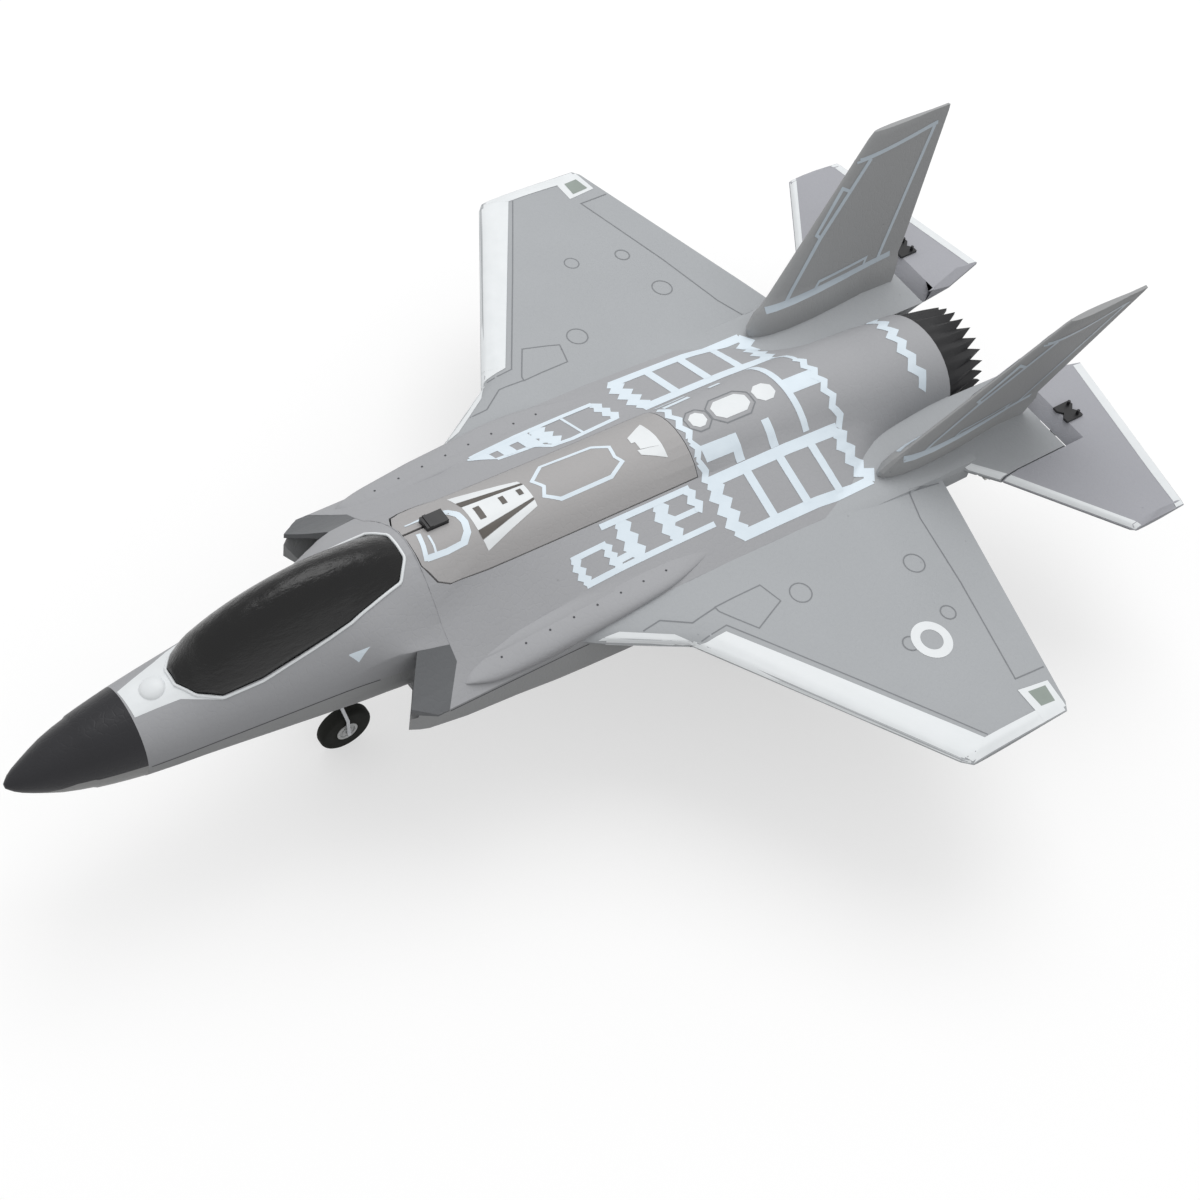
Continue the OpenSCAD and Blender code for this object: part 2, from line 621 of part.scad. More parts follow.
module wing_half(side) {
    color("#9fa2a6") placed() difference() {
        union() {
            port_or_starboard(side)
                loft([for (x = [half_span, half_span - 3, 100, kink[0], 49, body_half]) wing_ring_tip(x)]);
            difference() {
                port_or_starboard(side) {
                    boom_form();
                    tail_root();
                }
                body_upper_form();
                body_lower_form();
                translate([0, barrel_end - 1, barrel_axis]) rotate([-90, 0, 0]) cylinder(r = barrel_radius + 0.5, h = 60, $fn = 64);
            }
        }
        port_or_starboard(side) {
            spar_hole();
            servo_pocket();
            fin_slot();
        }
    }
}

// The last ring is drawn in a little, which rounds the wing tip
function wing_ring_tip(x) = x < half_span ? wing_ring(x) :
    let (r = wing_ring(x), c = [x, tip_le + tip_chord / 2, wing_mid(x)]) [for (p = r) [x, mix(c[1], p[1], 0.95), mix(c[2], p[2], 0.45)]];

module wing_spar() {
    color("#2b2b2b") placed() translate([-spar_length / 2, spar_station, spar_height]) rotate([0, 90, 0])
        cylinder(d = spar_diameter, h = spar_length, $fn = ROUND);
}

// ---- Fins ----
fin_foot = 313;
tab_long = 30;
tab_deep = 4;
tab_thick = 2.4;
// The loft starts this far inside the boom, whose own form then trims the fin's foot
foot_sink = 1;
// Each row is [height, leading edge, trailing edge, thickness, thickness of the trailing edge]; the first four are the shoe
FIN_RINGS = [[0, 313.4, 383.6, 8.8, 4.2], [3, 312.6, 384.6, 9.6, 4.4], [8.2, 315.6, 385.8, 8.4, 3.6], [10.2, 318, 386.2, fin_thickness + 0.8, 1.6],
             [14, 321.6, 388.2, fin_thickness, edge_thick], [fin_height - 2.5, 364.2, 403.2, 3.4, edge_thick],
             [fin_height, 366.6, 403.6, 2.2, edge_thick]];
function fin_ring(r) =
    let (s = r[0], pts = foil_ring(r[1], r[2], r[3], r[4]))
    [for (p = pts)
        s == 0 ? [fin_spacing + p[1] / cos(fin_cant), p[0], boom_top(p[0]) - foot_sink]
               : [fin_spacing + s * sin(fin_cant) + p[1] * cos(fin_cant), p[0], boom_top(350) + s * cos(fin_cant) - p[1] * sin(fin_cant)]];

module fin_tab(grow) {
    translate([fin_spacing - tab_thick / 2 - grow, 335 - grow, boom_top(350) - tab_deep - grow])
        cube([tab_thick + 2 * grow, tab_long + 2 * grow, tab_deep + 2 + 2 * grow]);
}

module fin_slot() {
    fin_tab(0.1);
}

module fin(side) {
    color("#94979a") placed() port_or_starboard(side) {
        difference() {
            loft([for (r = FIN_RINGS) fin_ring(r)]);
            boom_form();
        }
        fin_tab(0);
    }
}

// ---- Elevators ----
elevator_in = 25.5;
inner_te = [30.5, overall_length];
tip_leading = [tail_half, 385];
tip_trailing = 410.5;
hinge_gap = 0.5;
function elevator_te(x) = mix(inner_te[1], tip_trailing, (x - inner_te[0]) / (tail_half - inner_te[0]));
function elevator_le(x) = mix(355.7 + 0.4, tip_leading[1], (x - cut_offset) / (tail_half - cut_offset));
elevator_front = hinge_station + hinge_gap / 2;

function outer_ring(x) = let (t = tail_thickness / 2, a = elevator_le(x), b = elevator_te(x), k = x > tail_half - 1 ? 0.4 : 1)
    [[x, a, tail_mid], [x, a + 1.2, tail_mid + t * 0.6 * k], [x, a + 7, tail_mid + t * k], [x, b - 12, tail_mid + t * k],
     [x, b, tail_mid + 0.5 * k], [x, b, tail_mid - 0.5 * k], [x, b - 12, tail_mid - t * k], [x, a + 7, tail_mid - t * k],
     [x, a + 1.2, tail_mid - t * 0.6 * k]];

function inner_ring(x, b) = let (t = tail_thickness / 2, a = elevator_front)
    [[x, a, tail_mid - t], [x, a + tail_thickness * groove_slope, tail_mid + t], [x, b - 12, tail_mid + t],
     [x, b, tail_mid + 0.5], [x, b, tail_mid - 0.5], [x, b - 12, tail_mid - t]];

module elevator(side) {
    cut = cut_offset + hinge_gap;
    color("#9fa2a6") placed() port_or_starboard(side) difference() {
        union() {
            loft([for (x = [tail_half, tail_half - 2, cut]) outer_ring(x)]);
            loft([for (x = [cut + 1, inner_te[0]]) inner_ring(x, elevator_te(x))]);
            loft([inner_ring(inner_te[0], elevator_te(inner_te[0])), inner_ring(elevator_in, elevator_front + 13)]);
        }
        horn_screws(0.05);
    }
}

// ---- Control horns, servos, arms and pushrods ----
hinge_height = tail_floor + 0.2;
lever_pivot = [hinge_station, hinge_height - lever_length];
horn_thick = 1.2;
horn_plate = [8, 8, 1];
horn_station = hinge_station + 3.4;
screw_diameter = 1.2;
module horn_screws(grow) {
    for (dx = [-2.6, 2.6]) translate([rod_offset + dx, horn_station + horn_plate[1] - 1.7, tail_mid - tail_thickness])
        cylinder(d = screw_diameter + 2 * grow, h = 2 * tail_thickness, $fn = 24);
}

// Bow-tie plate, narrow in the middle
module horn_outline() {
    difference() {
        square([horn_plate[0], horn_plate[1]]);
        for (y = [0, horn_plate[1]]) translate([horn_plate[0] / 2, y]) rotate(45) square(2.6, center = true);
    }
}

module elevator_horn(side) {
    x = rod_offset;
    under = tail_mid - tail_thickness / 2;
    color("#17181a") placed() port_or_starboard(side) difference() {
        union() {
            translate([x - horn_plate[0] / 2, horn_station, tail_mid + tail_thickness / 2]) linear_extrude(horn_plate[2]) horn_outline();
            translate([x - horn_plate[0] / 2, horn_station, under - horn_plate[2]]) cube(horn_plate);
            translate([x - horn_thick / 2, 0, 0]) rotate([90, 0, 90]) linear_extrude(horn_thick)
                polygon([[horn_station, under - horn_plate[2] / 2], [horn_station + horn_plate[1], under - horn_plate[2] / 2],
                         [lever_pivot[0] + 1.7, lever_pivot[1] - 0.6], [lever_pivot[0] + 0.6, lever_pivot[1] - 1.7],
                         [lever_pivot[0] - 0.6, lever_pivot[1] - 1.7], [lever_pivot[0] - 1.7, lever_pivot[1] - 0.6],
                         [lever_pivot[0] - 1.7, lever_pivot[1] + 0.6]]);
            horn_screws(0);
        }
        translate([x - 3, lever_pivot[0], lever_pivot[1]]) rotate([0, 90, 0])
            cylinder(d = rod_diameter + 2 * running_gap, h = 6, $fn = 24);
    }
}

servo_front = 351;
servo_height = -5;
servo_axis = servo_front + servo_length - 4.6;
servo_face = rod_offset - 2.4;
shaft_hub = 4;
module servo_pocket() {
    g = seam_gap;
    translate([servo_face - servo_depth - g, servo_front - g, -20])
        cube([servo_depth + g + 7.6, servo_length + 2 * g, 20 + servo_height + servo_thickness / 2 + g]);
}

module servo(side) {
    t = servo_thickness;
    color("#2d4f86") placed() port_or_starboard(side) difference() {
        union() {
            translate([servo_face - servo_depth, servo_front, servo_height - t / 2]) cube([servo_depth - 1, servo_length, t]);
            translate([servo_face - 1.2, servo_axis, servo_height]) rotate([0, 90, 0]) cylinder(d = t - 1.6, h = 1.2, $fn = ROUND);
        }
        translate([servo_face - 5, servo_axis, servo_height]) rotate([0, 90, 0])
            cylinder(d = shaft_hub / 2 + 2 * running_gap, h = 6, $fn = ROUND);
    }
}

arm_thick = 1.2;
module servo_arm(side) {
    color("#e8e8e4") placed() port_or_starboard(side) translate([0, servo_axis, servo_height]) difference() {
        union() {
            translate([servo_face - 4.5, 0, 0]) rotate([0, 90, 0]) cylinder(d = shaft_hub / 2, h = 5, $fn = ROUND);
            translate([servo_face + 0.3, 0, 0]) rotate([0, 90, 0]) cylinder(d = shaft_hub, h = rod_offset + arm_thick / 2 - servo_face - 0.3, $fn = ROUND);
            translate([rod_offset - arm_thick / 2, 0, 0]) rotate([90, 0, 90]) linear_extrude(arm_thick)
                polygon([[-1.8, 0], [1.8, 0], [1.4, -lever_length - 1], [0.7, -lever_length - 1.7],
                         [-0.7, -lever_length - 1.7], [-1.4, -lever_length - 1]]);
        }
        translate([rod_offset - 3, 0, -lever_length]) rotate([0, 90, 0])
            cylinder(d = rod_diameter + 2 * running_gap, h = 6, $fn = 24);
    }
}

// Round wire through the points, a little fuller at each bend, as bent wire is
elbow_swell = 1.08;
module wire_path(points, d) {
    for (i = [0:len(points) - 2]) {
        v = points[i + 1] - points[i];
        translate(points[i]) rotate([0, acos(v[2] / norm(v)), atan2(v[1], v[0])]) cylinder(d = d, h = norm(v), $fn = 24);
    }
    for (i = [1:len(points) - 2]) translate(points[i]) sphere(d = d * elbow_swell, $fn = 24);
}

// Wire with a hook at each end, which passes through the servo arm and the control horn
rod_side = 1.6;
module pushrod(side) {
    front = [servo_axis, servo_height - lever_length];
    back = lever_pivot;
    x = rod_offset + rod_side;
    inner = rod_offset - 1.4;
    color("#c9ccd0") placed() port_or_starboard(side)
        wire_path([[inner, front[0], front[1]], [x, front[0], front[1]], [x, back[0], back[1]], [inner, back[0], back[1]]], rod_diameter);
}

// ---- Motors, pods and propellers ----
pod_front = 296;
motor_front = 312;
motor_back = motor_front + motor_length;
prop_station = motor_back + 7;
pod_radius = motor_diameter / 2 + running_gap + pod_wall;
module motor_pod(side) {
    r = pod_radius;
    nose = motor_front - 3 - pod_front;
    color("#8b8e92") placed() port_or_starboard(side) difference() {
        union() {
            translate([pod_offset, pod_front, pod_height]) rotate([-90, 0, 0]) rotate_extrude($fn = 48)
                polygon(concat([[0, 0]], [for (q = [10:10:90]) [r * sin(q), nose * (1 - cos(q))]],
                    [[r, motor_back - 3 - pod_front], [r - 0.8, motor_back - pod_front - 0.5], [0, motor_back - pod_front - 0.5]]));
            translate([pod_offset, 0, pod_height]) linear_extrude(boom_floor - pod_height)
                polygon([[-0.6, pod_front + 8], [0.6, pod_front + 8], [1.6, pod_front + 14], [1.6, motor_back - 12],
                         [0.6, motor_back - 4], [-0.6, motor_back - 4], [-1.6, motor_back - 12], [-1.6, pod_front + 14]]);
            translate([pod_offset - 4, pod_front + 10, boom_floor - 1.4]) cube([8, motor_back - pod_front - 16, 1.4]);
        }
        translate([pod_offset, motor_front - 0.2, pod_height]) rotate([-90, 0, 0])
            cylinder(d = motor_diameter + 2 * running_gap, h = 60, $fn = ROUND);
    }
}

module motor(side) {
    color("#b9bcc0") placed() port_or_starboard(side) translate([pod_offset, motor_front, pod_height]) rotate([-90, 0, 0])
        difference() {
            union() {
                cylinder(d = motor_diameter, h = motor_length, $fn = ROUND);
                cylinder(d = motor_diameter / 3, h = motor_length + 1, $fn = ROUND);
            }
            translate([0, 0, motor_length - 8]) cylinder(d = shaft_diameter + 2 * running_gap, h = 20, $fn = 24);
        }
}

prop_hub_diameter = 5;
prop_hub_length = 5.5;
prop_pitch = 30;
function blade_chord(s) = lookup(s, [[0, 3.4], [0.3, 6], [0.55, 6.8], [0.8, 5.6], [0.95, 3.4], [1, 1.4]]);
function blade_ring(s) =
    let (r = mix(1.4, prop_diameter / 2, s), a = atan(prop_pitch / (2 * PI * max(r, 3))), c = blade_chord(s), t = mix(1.3, 0.5, s))
    [for (p = [[-0.5, 0], [-0.3, -0.42], [0.1, -0.36], [0.5, -0.06], [0.5, 0.06], [0.1, 0.62], [-0.3, 0.55]])
        let (u = p[0] * c, v = p[1] * t) [u * cos(a) - v * sin(a), u * sin(a) + v * cos(a), r]];

module propeller(side) {
    color("#d9dbdd") placed() port_or_starboard(side) translate([pod_offset, prop_station, pod_height]) {
        for (q = [0, 180]) rotate([0, q, 0]) loft([for (s = [0, 0.15, 0.3, 0.45, 0.6, 0.75, 0.88, 0.96, 1]) blade_ring(s)]);
        translate([0, -prop_hub_length / 2, 0]) rotate([-90, 0, 0]) cylinder(d = prop_hub_diameter, h = prop_hub_length, $fn = ROUND);
        translate([0, motor_back - 6 - prop_station, 0]) rotate([-90, 0, 0])
            cylinder(d = shaft_diameter, h = prop_station - motor_back + 7, $fn = 24);
    }
}

// ---- Undercarriage ----
axle_height = tyre_diameter / 2 - ride_height;
hub_width = tyre_width + 0.4;
wire_side = hub_width / 2 + 0.35 + wire_diameter / 2;
axle_end = hub_width / 2 + 2.1;
socket_station = nose_wheel_station - 8;
socket_flange = [9, 12, 1.2];
socket_stem = 5.4;
socket_depth = 11;
fore_floor = smooth(FORE_KEEL, socket_station) - 0.2;
plate_size = [23, 11, 2.6];
plate_floor = -belly_depth - 1.5;
gear_line = plate_floor + plate_size[2] / 2;

module gear_recesses() {
    g = 0.1;
    translate([0, socket_station, fore_floor]) cylinder(d = socket_stem + 2 * g, h = socket_depth + g, $fn = ROUND);
    translate([-socket_flange[0] / 2 - g, socket_station - socket_flange[1] / 2 - g, fore_floor - 5])
        cube([socket_flange[0] + 2 * g, socket_flange[1] + 2 * g, 5.6]);
    translate([-plate_size[0] / 2 - g, main_wheel_station - plate_size[1] / 2 - g, plate_floor - 4])
        cube([plate_size[0] + 2 * g, plate_size[1] + 2 * g, plate_size[2] + 4]);
    translate([-plate_size[0] / 2 - 3, main_wheel_station - wire_diameter, plate_floor - 4])
        cube([plate_size[0] + 6, 2 * wire_diameter, gear_line + wire_diameter - plate_floor + 4]);
}

module nose_gear_socket() {
    color("#1b1c1e") placed() difference() {
        union() {
            translate([0, socket_station, fore_floor]) cylinder(d = socket_stem, h = socket_depth, $fn = ROUND);
            translate([-socket_flange[0] / 2, socket_station - socket_flange[1] / 2, fore_floor + 0.6 - socket_flange[2]]) cube(socket_flange);
        }
        translate([0, socket_station, fore_floor - 5]) cylinder(d = wire_diameter + 2 * running_gap, h = socket_depth + 3, $fn = 24);
    }
}

module nose_gear_wire() {
    y = nose_wheel_station;
    z = axle_height;
    color("#c4c7cb") placed() wire_path([
        [0, socket_station, fore_floor + socket_depth - 3], [0, socket_station, fore_floor - 3],
        [wire_side, y - 1, z + 9], [wire_side, y, z], [-axle_end, y, z]], wire_diameter);
}

module main_gear_plate() {
    color("#1b1c1e") placed() difference() {
        translate([-plate_size[0] / 2, main_wheel_station - plate_size[1] / 2, plate_floor]) cube(plate_size);
        translate([-plate_size[0], main_wheel_station, gear_line]) rotate([0, 90, 0])
            cylinder(d = wire_diameter + 2 * running_gap, h = 2 * plate_size[0], $fn = 24);
    }
}

module main_gear_wire() {
    y = main_wheel_station;
    z = axle_height;
    hip = plate_size[0] / 2 + 1.2;
    knee = track_half - wire_side;
    half = [[track_half + axle_end, y, z], [knee, y, z], [hip, y, gear_line]];
    color("#c4c7cb") placed() wire_path(concat(half, [for (i = [2:-1:0]) [-half[i][0], half[i][1], half[i][2]]]), wire_diameter);
}

module wheel_at(x, y) {
    placed() translate([x, y, axle_height]) rotate([0, 90, 0]) children();
}

module hub(x, y) {
    rim_lip = 0.5;
    color("#c9cbcd") wheel_at(x, y) rotate_extrude($fn = 48)
        let (b = wire_diameter / 2 + running_gap, r = hub_diameter / 2, w = hub_width / 2)
        polygon([[b, -w], [b + 1, -w], [b + 1, 0.6 - w], [r - 0.9, 0.6 - w], [r - 0.9, -w], [r, -w], [r, w], [r - 0.9, w],
                 [r - 0.9, w - 0.6], [b + 1, w - 0.6], [b + 1, w], [b, w]]);
}

module tyre(x, y) {
    round = 1.7;
    r = tyre_diameter / 2;
    w = tyre_width / 2;
    color("#1f1f20") wheel_at(x, y) rotate_extrude($fn = 64)
        polygon(concat([[hub_diameter / 2, -w], [hub_diameter / 2, w]],
            [for (q = [90:-15:0]) [r - round + round * cos(q), w - round + round * sin(q)]],
            [for (q = [0:15:90]) [r - round + round * cos(q), round - w - round * sin(q)]]));
}

module wheel_collars() {
    d = wire_diameter + 2 * running_gap;
    color("#17181a") {
        for (p = [[-hub_width / 2 - 0.9, nose_wheel_station], [track_half + hub_width / 2 + 0.9, main_wheel_station],
                  [-track_half - hub_width / 2 - 0.9, main_wheel_station]])
            wheel_at(p[0], p[1]) difference() {
                cylinder(d = 3.2, h = 1.2, center = true, $fn = 32);
                cylinder(d = d, h = 4, center = true, $fn = 24);
            }
    }
}

nose_cone();
fuselage_upper();
fuselage_lower();
canopy();
battery_hatch();
hatch_tab();
battery();
receiver_board();
intake_lip(LEFT);  // intake_lip_left
intake_lip(RIGHT);  // intake_lip_right
exhaust_nozzle();
wing_half(LEFT);  // wing_left
wing_half(RIGHT);  // wing_right
wing_spar();
fin(LEFT);  // fin_left
fin(RIGHT);  // fin_right
elevator(LEFT);  // elevator_left
elevator(RIGHT);  // elevator_right
elevator_horn(LEFT);  // elevator_horn_left
elevator_horn(RIGHT);  // elevator_horn_right
servo(LEFT);  // servo_left
servo(RIGHT);  // servo_right
servo_arm(LEFT);  // servo_arm_left
servo_arm(RIGHT);  // servo_arm_right
pushrod(LEFT);  // pushrod_left
pushrod(RIGHT);  // pushrod_right
motor_pod(LEFT);  // motor_pod_left
motor_pod(RIGHT);  // motor_pod_right
motor(LEFT);  // motor_left
motor(RIGHT);  // motor_right
propeller(LEFT);  // propeller_left
propeller(RIGHT);  // propeller_right
nose_gear_socket();
nose_gear_wire();
hub(0, nose_wheel_station);  // nose_hub
tyre(0, nose_wheel_station);  // nose_tyre
main_gear_plate();
main_gear_wire();
hub(track_half, main_wheel_station);  // main_hub_left
hub(-track_half, main_wheel_station);  // main_hub_right
tyre(track_half, main_wheel_station);  // main_tyre_left
tyre(-track_half, main_wheel_station);  // main_tyre_right
wheel_collars();
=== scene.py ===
import math

import bpy
import numpy as np
from mathutils import Matrix, Vector


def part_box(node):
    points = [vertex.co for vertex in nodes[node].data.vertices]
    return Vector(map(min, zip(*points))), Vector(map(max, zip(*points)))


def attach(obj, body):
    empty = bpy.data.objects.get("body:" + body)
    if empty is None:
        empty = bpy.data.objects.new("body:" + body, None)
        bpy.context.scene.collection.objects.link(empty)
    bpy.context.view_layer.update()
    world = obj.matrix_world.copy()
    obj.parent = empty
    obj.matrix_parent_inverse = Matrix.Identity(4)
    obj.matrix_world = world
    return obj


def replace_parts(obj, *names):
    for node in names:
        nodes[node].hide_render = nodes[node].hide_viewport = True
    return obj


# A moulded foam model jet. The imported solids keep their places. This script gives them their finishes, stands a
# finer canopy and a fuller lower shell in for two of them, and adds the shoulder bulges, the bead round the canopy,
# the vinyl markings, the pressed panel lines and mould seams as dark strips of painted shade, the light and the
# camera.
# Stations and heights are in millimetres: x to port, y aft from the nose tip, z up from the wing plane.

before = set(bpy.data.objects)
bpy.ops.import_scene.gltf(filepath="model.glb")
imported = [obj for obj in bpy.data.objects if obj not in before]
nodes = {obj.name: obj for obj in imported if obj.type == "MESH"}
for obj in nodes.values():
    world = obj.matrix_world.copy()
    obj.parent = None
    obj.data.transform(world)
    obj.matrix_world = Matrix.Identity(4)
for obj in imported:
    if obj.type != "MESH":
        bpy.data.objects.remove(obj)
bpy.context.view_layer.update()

MM = 0.001
SPAR_SINK = 0.5 * MM  # the spar's axis lies this far under the wing plane
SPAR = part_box("wing_spar")
NOSE_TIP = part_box("nose_cone")[0].y
WING_PLANE = (SPAR[0].z + SPAR[1].z) / 2 + SPAR_SINK
ORIGIN = np.array([0, NOSE_TIP, WING_PLANE])
SIDES = (("left", 1), ("right", -1))


# ---- Camera ----
def camera_at(azimuth, elevation, roll, place, lens):
    """A camera that looks back along the direction of azimuth (from -Y towards +X) and elevation, rolled about
    its own axis."""
    a, e, r = (math.radians(v) for v in (azimuth, elevation, roll))
    back = Vector((math.sin(a) * math.cos(e), -math.cos(a) * math.cos(e), math.sin(e)))
    level = Vector((math.cos(a), math.sin(a), 0))
    upright = back.cross(level)
    right = level * math.cos(r) + upright * math.sin(r)
    up = upright * math.cos(r) - level * math.sin(r)
    data = bpy.data.cameras.new("camera")
    data.lens = lens
    data.sensor_width = 36
    data.clip_start = 0.01
    obj = bpy.data.objects.new("camera", data)
    obj.matrix_world = Matrix.Translation(place) @ Matrix((right, up, back)).transposed().to_4x4()
    bpy.context.scene.collection.objects.link(obj)
    bpy.context.scene.camera = obj


camera_at(azimuth=44.54, elevation=52.09, roll=13.23, place=(0.32047, -0.30821, 0.59908), lens=59.9)


# ---- Colours and nodes ----
def linear(hex_colour):
    """The linear colour of an sRGB hex value: each channel through the sRGB transfer curve."""
    c = np.array([int(hex_colour[i:i + 2], 16) for i in (1, 3, 5)]) / 255
    return (*np.where(c <= 0.04045, c / 12.92, ((c + 0.055) / 1.055) ** 2.4).tolist(), 1)


def add(tree, kind, inputs=None, **settings):
    """Adds a node with its settings; inputs maps a socket's name or number to a value or another node's output."""
    node = tree.nodes.new(kind)
    for key, value in settings.items():
        setattr(node, key, value)
    for key, value in (inputs or {}).items():
        if isinstance(value, bpy.types.NodeSocket):
            tree.links.new(value, node.inputs[key])
        else:
            node.inputs[key].default_value = value
    return node


def work_out(tree, operation, *terms, **settings):
    """The result of one math node."""
    return add(tree, "ShaderNodeMath", dict(enumerate(terms)), operation=operation, **settings).outputs[0]


def new_finish(name, **shader):
    """A material whose Principled shader has the given constants, with its tree, shader and object coordinates."""
    mat = bpy.data.materials.new(name)
    mat.use_nodes = True
    tree = mat.node_tree
    base = tree.nodes["Principled BSDF"]
    for key, value in shader.items():
        base.inputs[key.replace("_", " ")].default_value = value
    return mat, tree, base, add(tree, "ShaderNodeTexCoord").outputs["Object"]


def per_mm(size):
    """Texture scale that gives features of this size in millimetres."""
    return 1000 / size


def noise(tree, place, size, detail=2, **more):
    """Noise with features of this size in millimetres."""
    inputs = {"Vector": place, "Scale": per_mm(size), "Detail": detail, **more}
    return add(tree, "ShaderNodeTexNoise", inputs).outputs[0]


def cell_edges(tree, place, size, **more):
    """Distance to the nearest edge in a net of cells of this size in millimetres."""
    inputs = {"Vector": place, "Scale": per_mm(size), **more}
    return add(tree, "ShaderNodeTexVoronoi", inputs, feature="DISTANCE_TO_EDGE").outputs["Distance"]


def stretched(tree, place, scale):
    """Coordinates scaled along each axis: less than 1 draws a pattern out."""
    return add(tree, "ShaderNodeMapping", {"Vector": place, "Scale": scale}).outputs[0]


def blend(tree, share, dark, light):
    """Colour between two hex tints, by share."""
    inputs = {0: share, 6: linear(dark), 7: linear(light)}
    return add(tree, "ShaderNodeMix", inputs, data_type="RGBA").outputs[2]


def tint(tree, base, share, dark, light):
    """Base colour between two hex tints, by share."""
    tree.links.new(blend(tree, share, dark, light), base.inputs["Base Color"])


def gloss(tree, base, share, low, high):
    """Roughness from low to high over the middle of the share's range."""
    spread = add(tree, "ShaderNodeMapRange", {0: share, 1: 0.3, 2: 0.7, 3: low, 4: high})
    tree.links.new(spread.outputs[0], base.inputs["Roughness"])


def bump(tree, height, strength, depth, **under):
    """Normals tilted by a height, depth in millimetres."""
    inputs = {"Height": height, "Strength": strength, "Distance": depth * MM, **under}
    return add(tree, "ShaderNodeBump", inputs).outputs[0]


def relief(tree, base, *surface, **under):
    """The shader's normals from one bump."""
    tree.links.new(bump(tree, *surface, **under), base.inputs["Normal"])


def painted_foam(name, dark, light, roughness=0.6):
    """Expanded polyolefin foam moulded from fused beads, sprayed with thin matt paint.
    The eye gets a faint net of bead outlines, a few pinholes and a slightly cloudy coat."""
    mat, tree, base, place = new_finish(name, Specular_IOR_Level=0.35)
    cloud = noise(tree, place, 34, 4)
    speck = noise(tree, place, 1.1)
    # bead outlines, about 2.8 mm across and shallow, bent by up to a millimetre
    bent = add(tree, "ShaderNodeTexNoise", {"Vector": place, "Scale": per_mm(3.4)})
    shift = add(tree, "ShaderNodeVectorMath", {0: bent.outputs["Color"], "Scale": 0.0011}, operation="SCALE")
    moved = add(tree, "ShaderNodeVectorMath", {0: place, 1: shift.outputs[0]}, operation="ADD")
    beads = cell_edges(tree, moved.outputs[0], 2.8, Randomness=0.85)
    rims = add(tree, "ShaderNodeMapRange", {0: beads, 1: 0.0, 2: 0.11, 3: 0.0, 4: 1.0},
               interpolation_type="SMOOTHSTEP")
    # pinholes where beads met badly: one cell in six of a 7 mm net holds one
    pits = add(tree, "ShaderNodeTexVoronoi", {"Vector": place, "Scale": per_mm(7), "Randomness": 1.0})
    draw = add(tree, "ShaderNodeSeparateColor", {0: pits.outputs["Color"]})
    chosen = work_out(tree, "GREATER_THAN", draw.outputs[0], 0.84)
    round_pit = add(tree, "ShaderNodeMapRange", {0: pits.outputs["Distance"], 1: 0.03, 2: 0.075, 3: 1.0, 4: 0.0},
                    interpolation_type="SMOOTHSTEP")
    pit = work_out(tree, "MULTIPLY", chosen, round_pit.outputs[0])
    share = work_out(tree, "MULTIPLY_ADD", cloud, 0.72, 0.02)
    grainy = work_out(tree, "MULTIPLY_ADD", speck, 0.26, share)
    tint(tree, base, work_out(tree, "MULTIPLY_ADD", pit, -0.9, grainy, use_clamp=True), dark, light)
    gloss(tree, base, cloud, roughness - 0.05, roughness + 0.07)
    height = work_out(tree, "MULTIPLY_ADD", pit, -3.5, rims.outputs[0])
    relief(tree, base, speck, 0.35, 0.03, Normal=bump(tree, height, 0.55, 0.05))
    return mat


def dipped_foam(name, dark, light, under_dark, under_light):
    """The nose's foam: black above the moulding's widest line, the belly's grey below it. The edge of the black coat
    sinks towards the tip and is a tenth of a millimetre soft, as a masked spray line is."""
    mat = painted_foam(name, dark, light, roughness=0.42)
    tree = mat.node_tree
    base = tree.nodes["Principled BSDF"]
    black = base.inputs["Base Color"].links[0].from_socket
    place = add(tree, "ShaderNodeTexCoord").outputs["Object"]
    axis = add(tree, "ShaderNodeSeparateXYZ", {0: place})
    tip, plane = float(ORIGIN[1]), float(ORIGIN[2])
    edge = add(tree, "ShaderNodeMapRange", {0: axis.outputs[1], 1: tip + 5 * MM, 2: tip + 19 * MM,
                                            3: plane - 11 * MM, 4: plane - 6.6 * MM})
    above = work_out(tree, "SUBTRACT", axis.outputs[2], edge.outputs[0])
    share = add(tree, "ShaderNodeMapRange", {0: above, 1: -0.1 * MM, 2: 0.1 * MM})
    grey = blend(tree, noise(tree, place, 20, 4), under_dark, under_light)
    coat = add(tree, "ShaderNodeMix", {0: share.outputs[0], 6: grey, 7: black}, data_type="RGBA")
    tree.links.new(coat.outputs[2], base.inputs["Base Color"])
    return mat


def moulded_plastic(name, dark, light, roughness, grain=0.5):
    """Injection-moulded ABS or nylon: an even colour, a fine spark-eroded grain and faint flow clouds."""
    mat, tree, base, place = new_finish(name)
    flow = noise(tree, place, 9, 3)
    tint(tree, base, flow, dark, light)
    gloss(tree, base, flow, roughness - 0.05, roughness + 0.06)
    relief(tree, base, noise(tree, place, grain), 0.3, 0.02)
    return mat


def printed_vinyl(name, dark, light):
    """Thin self-adhesive vinyl rubbed down onto foam: flat ink with a soft gloss that follows the beads under it."""
    mat, tree, base, place = new_finish(name, Specular_IOR_Level=0.45)
    worn = noise(tree, place, 6, 5)
    tint(tree, base, worn, dark, light)
    gloss(tree, base, worn, 0.36, 0.52)
    relief(tree, base, cell_edges(tree, place, 2.8), 0.25, 0.04)
    return mat


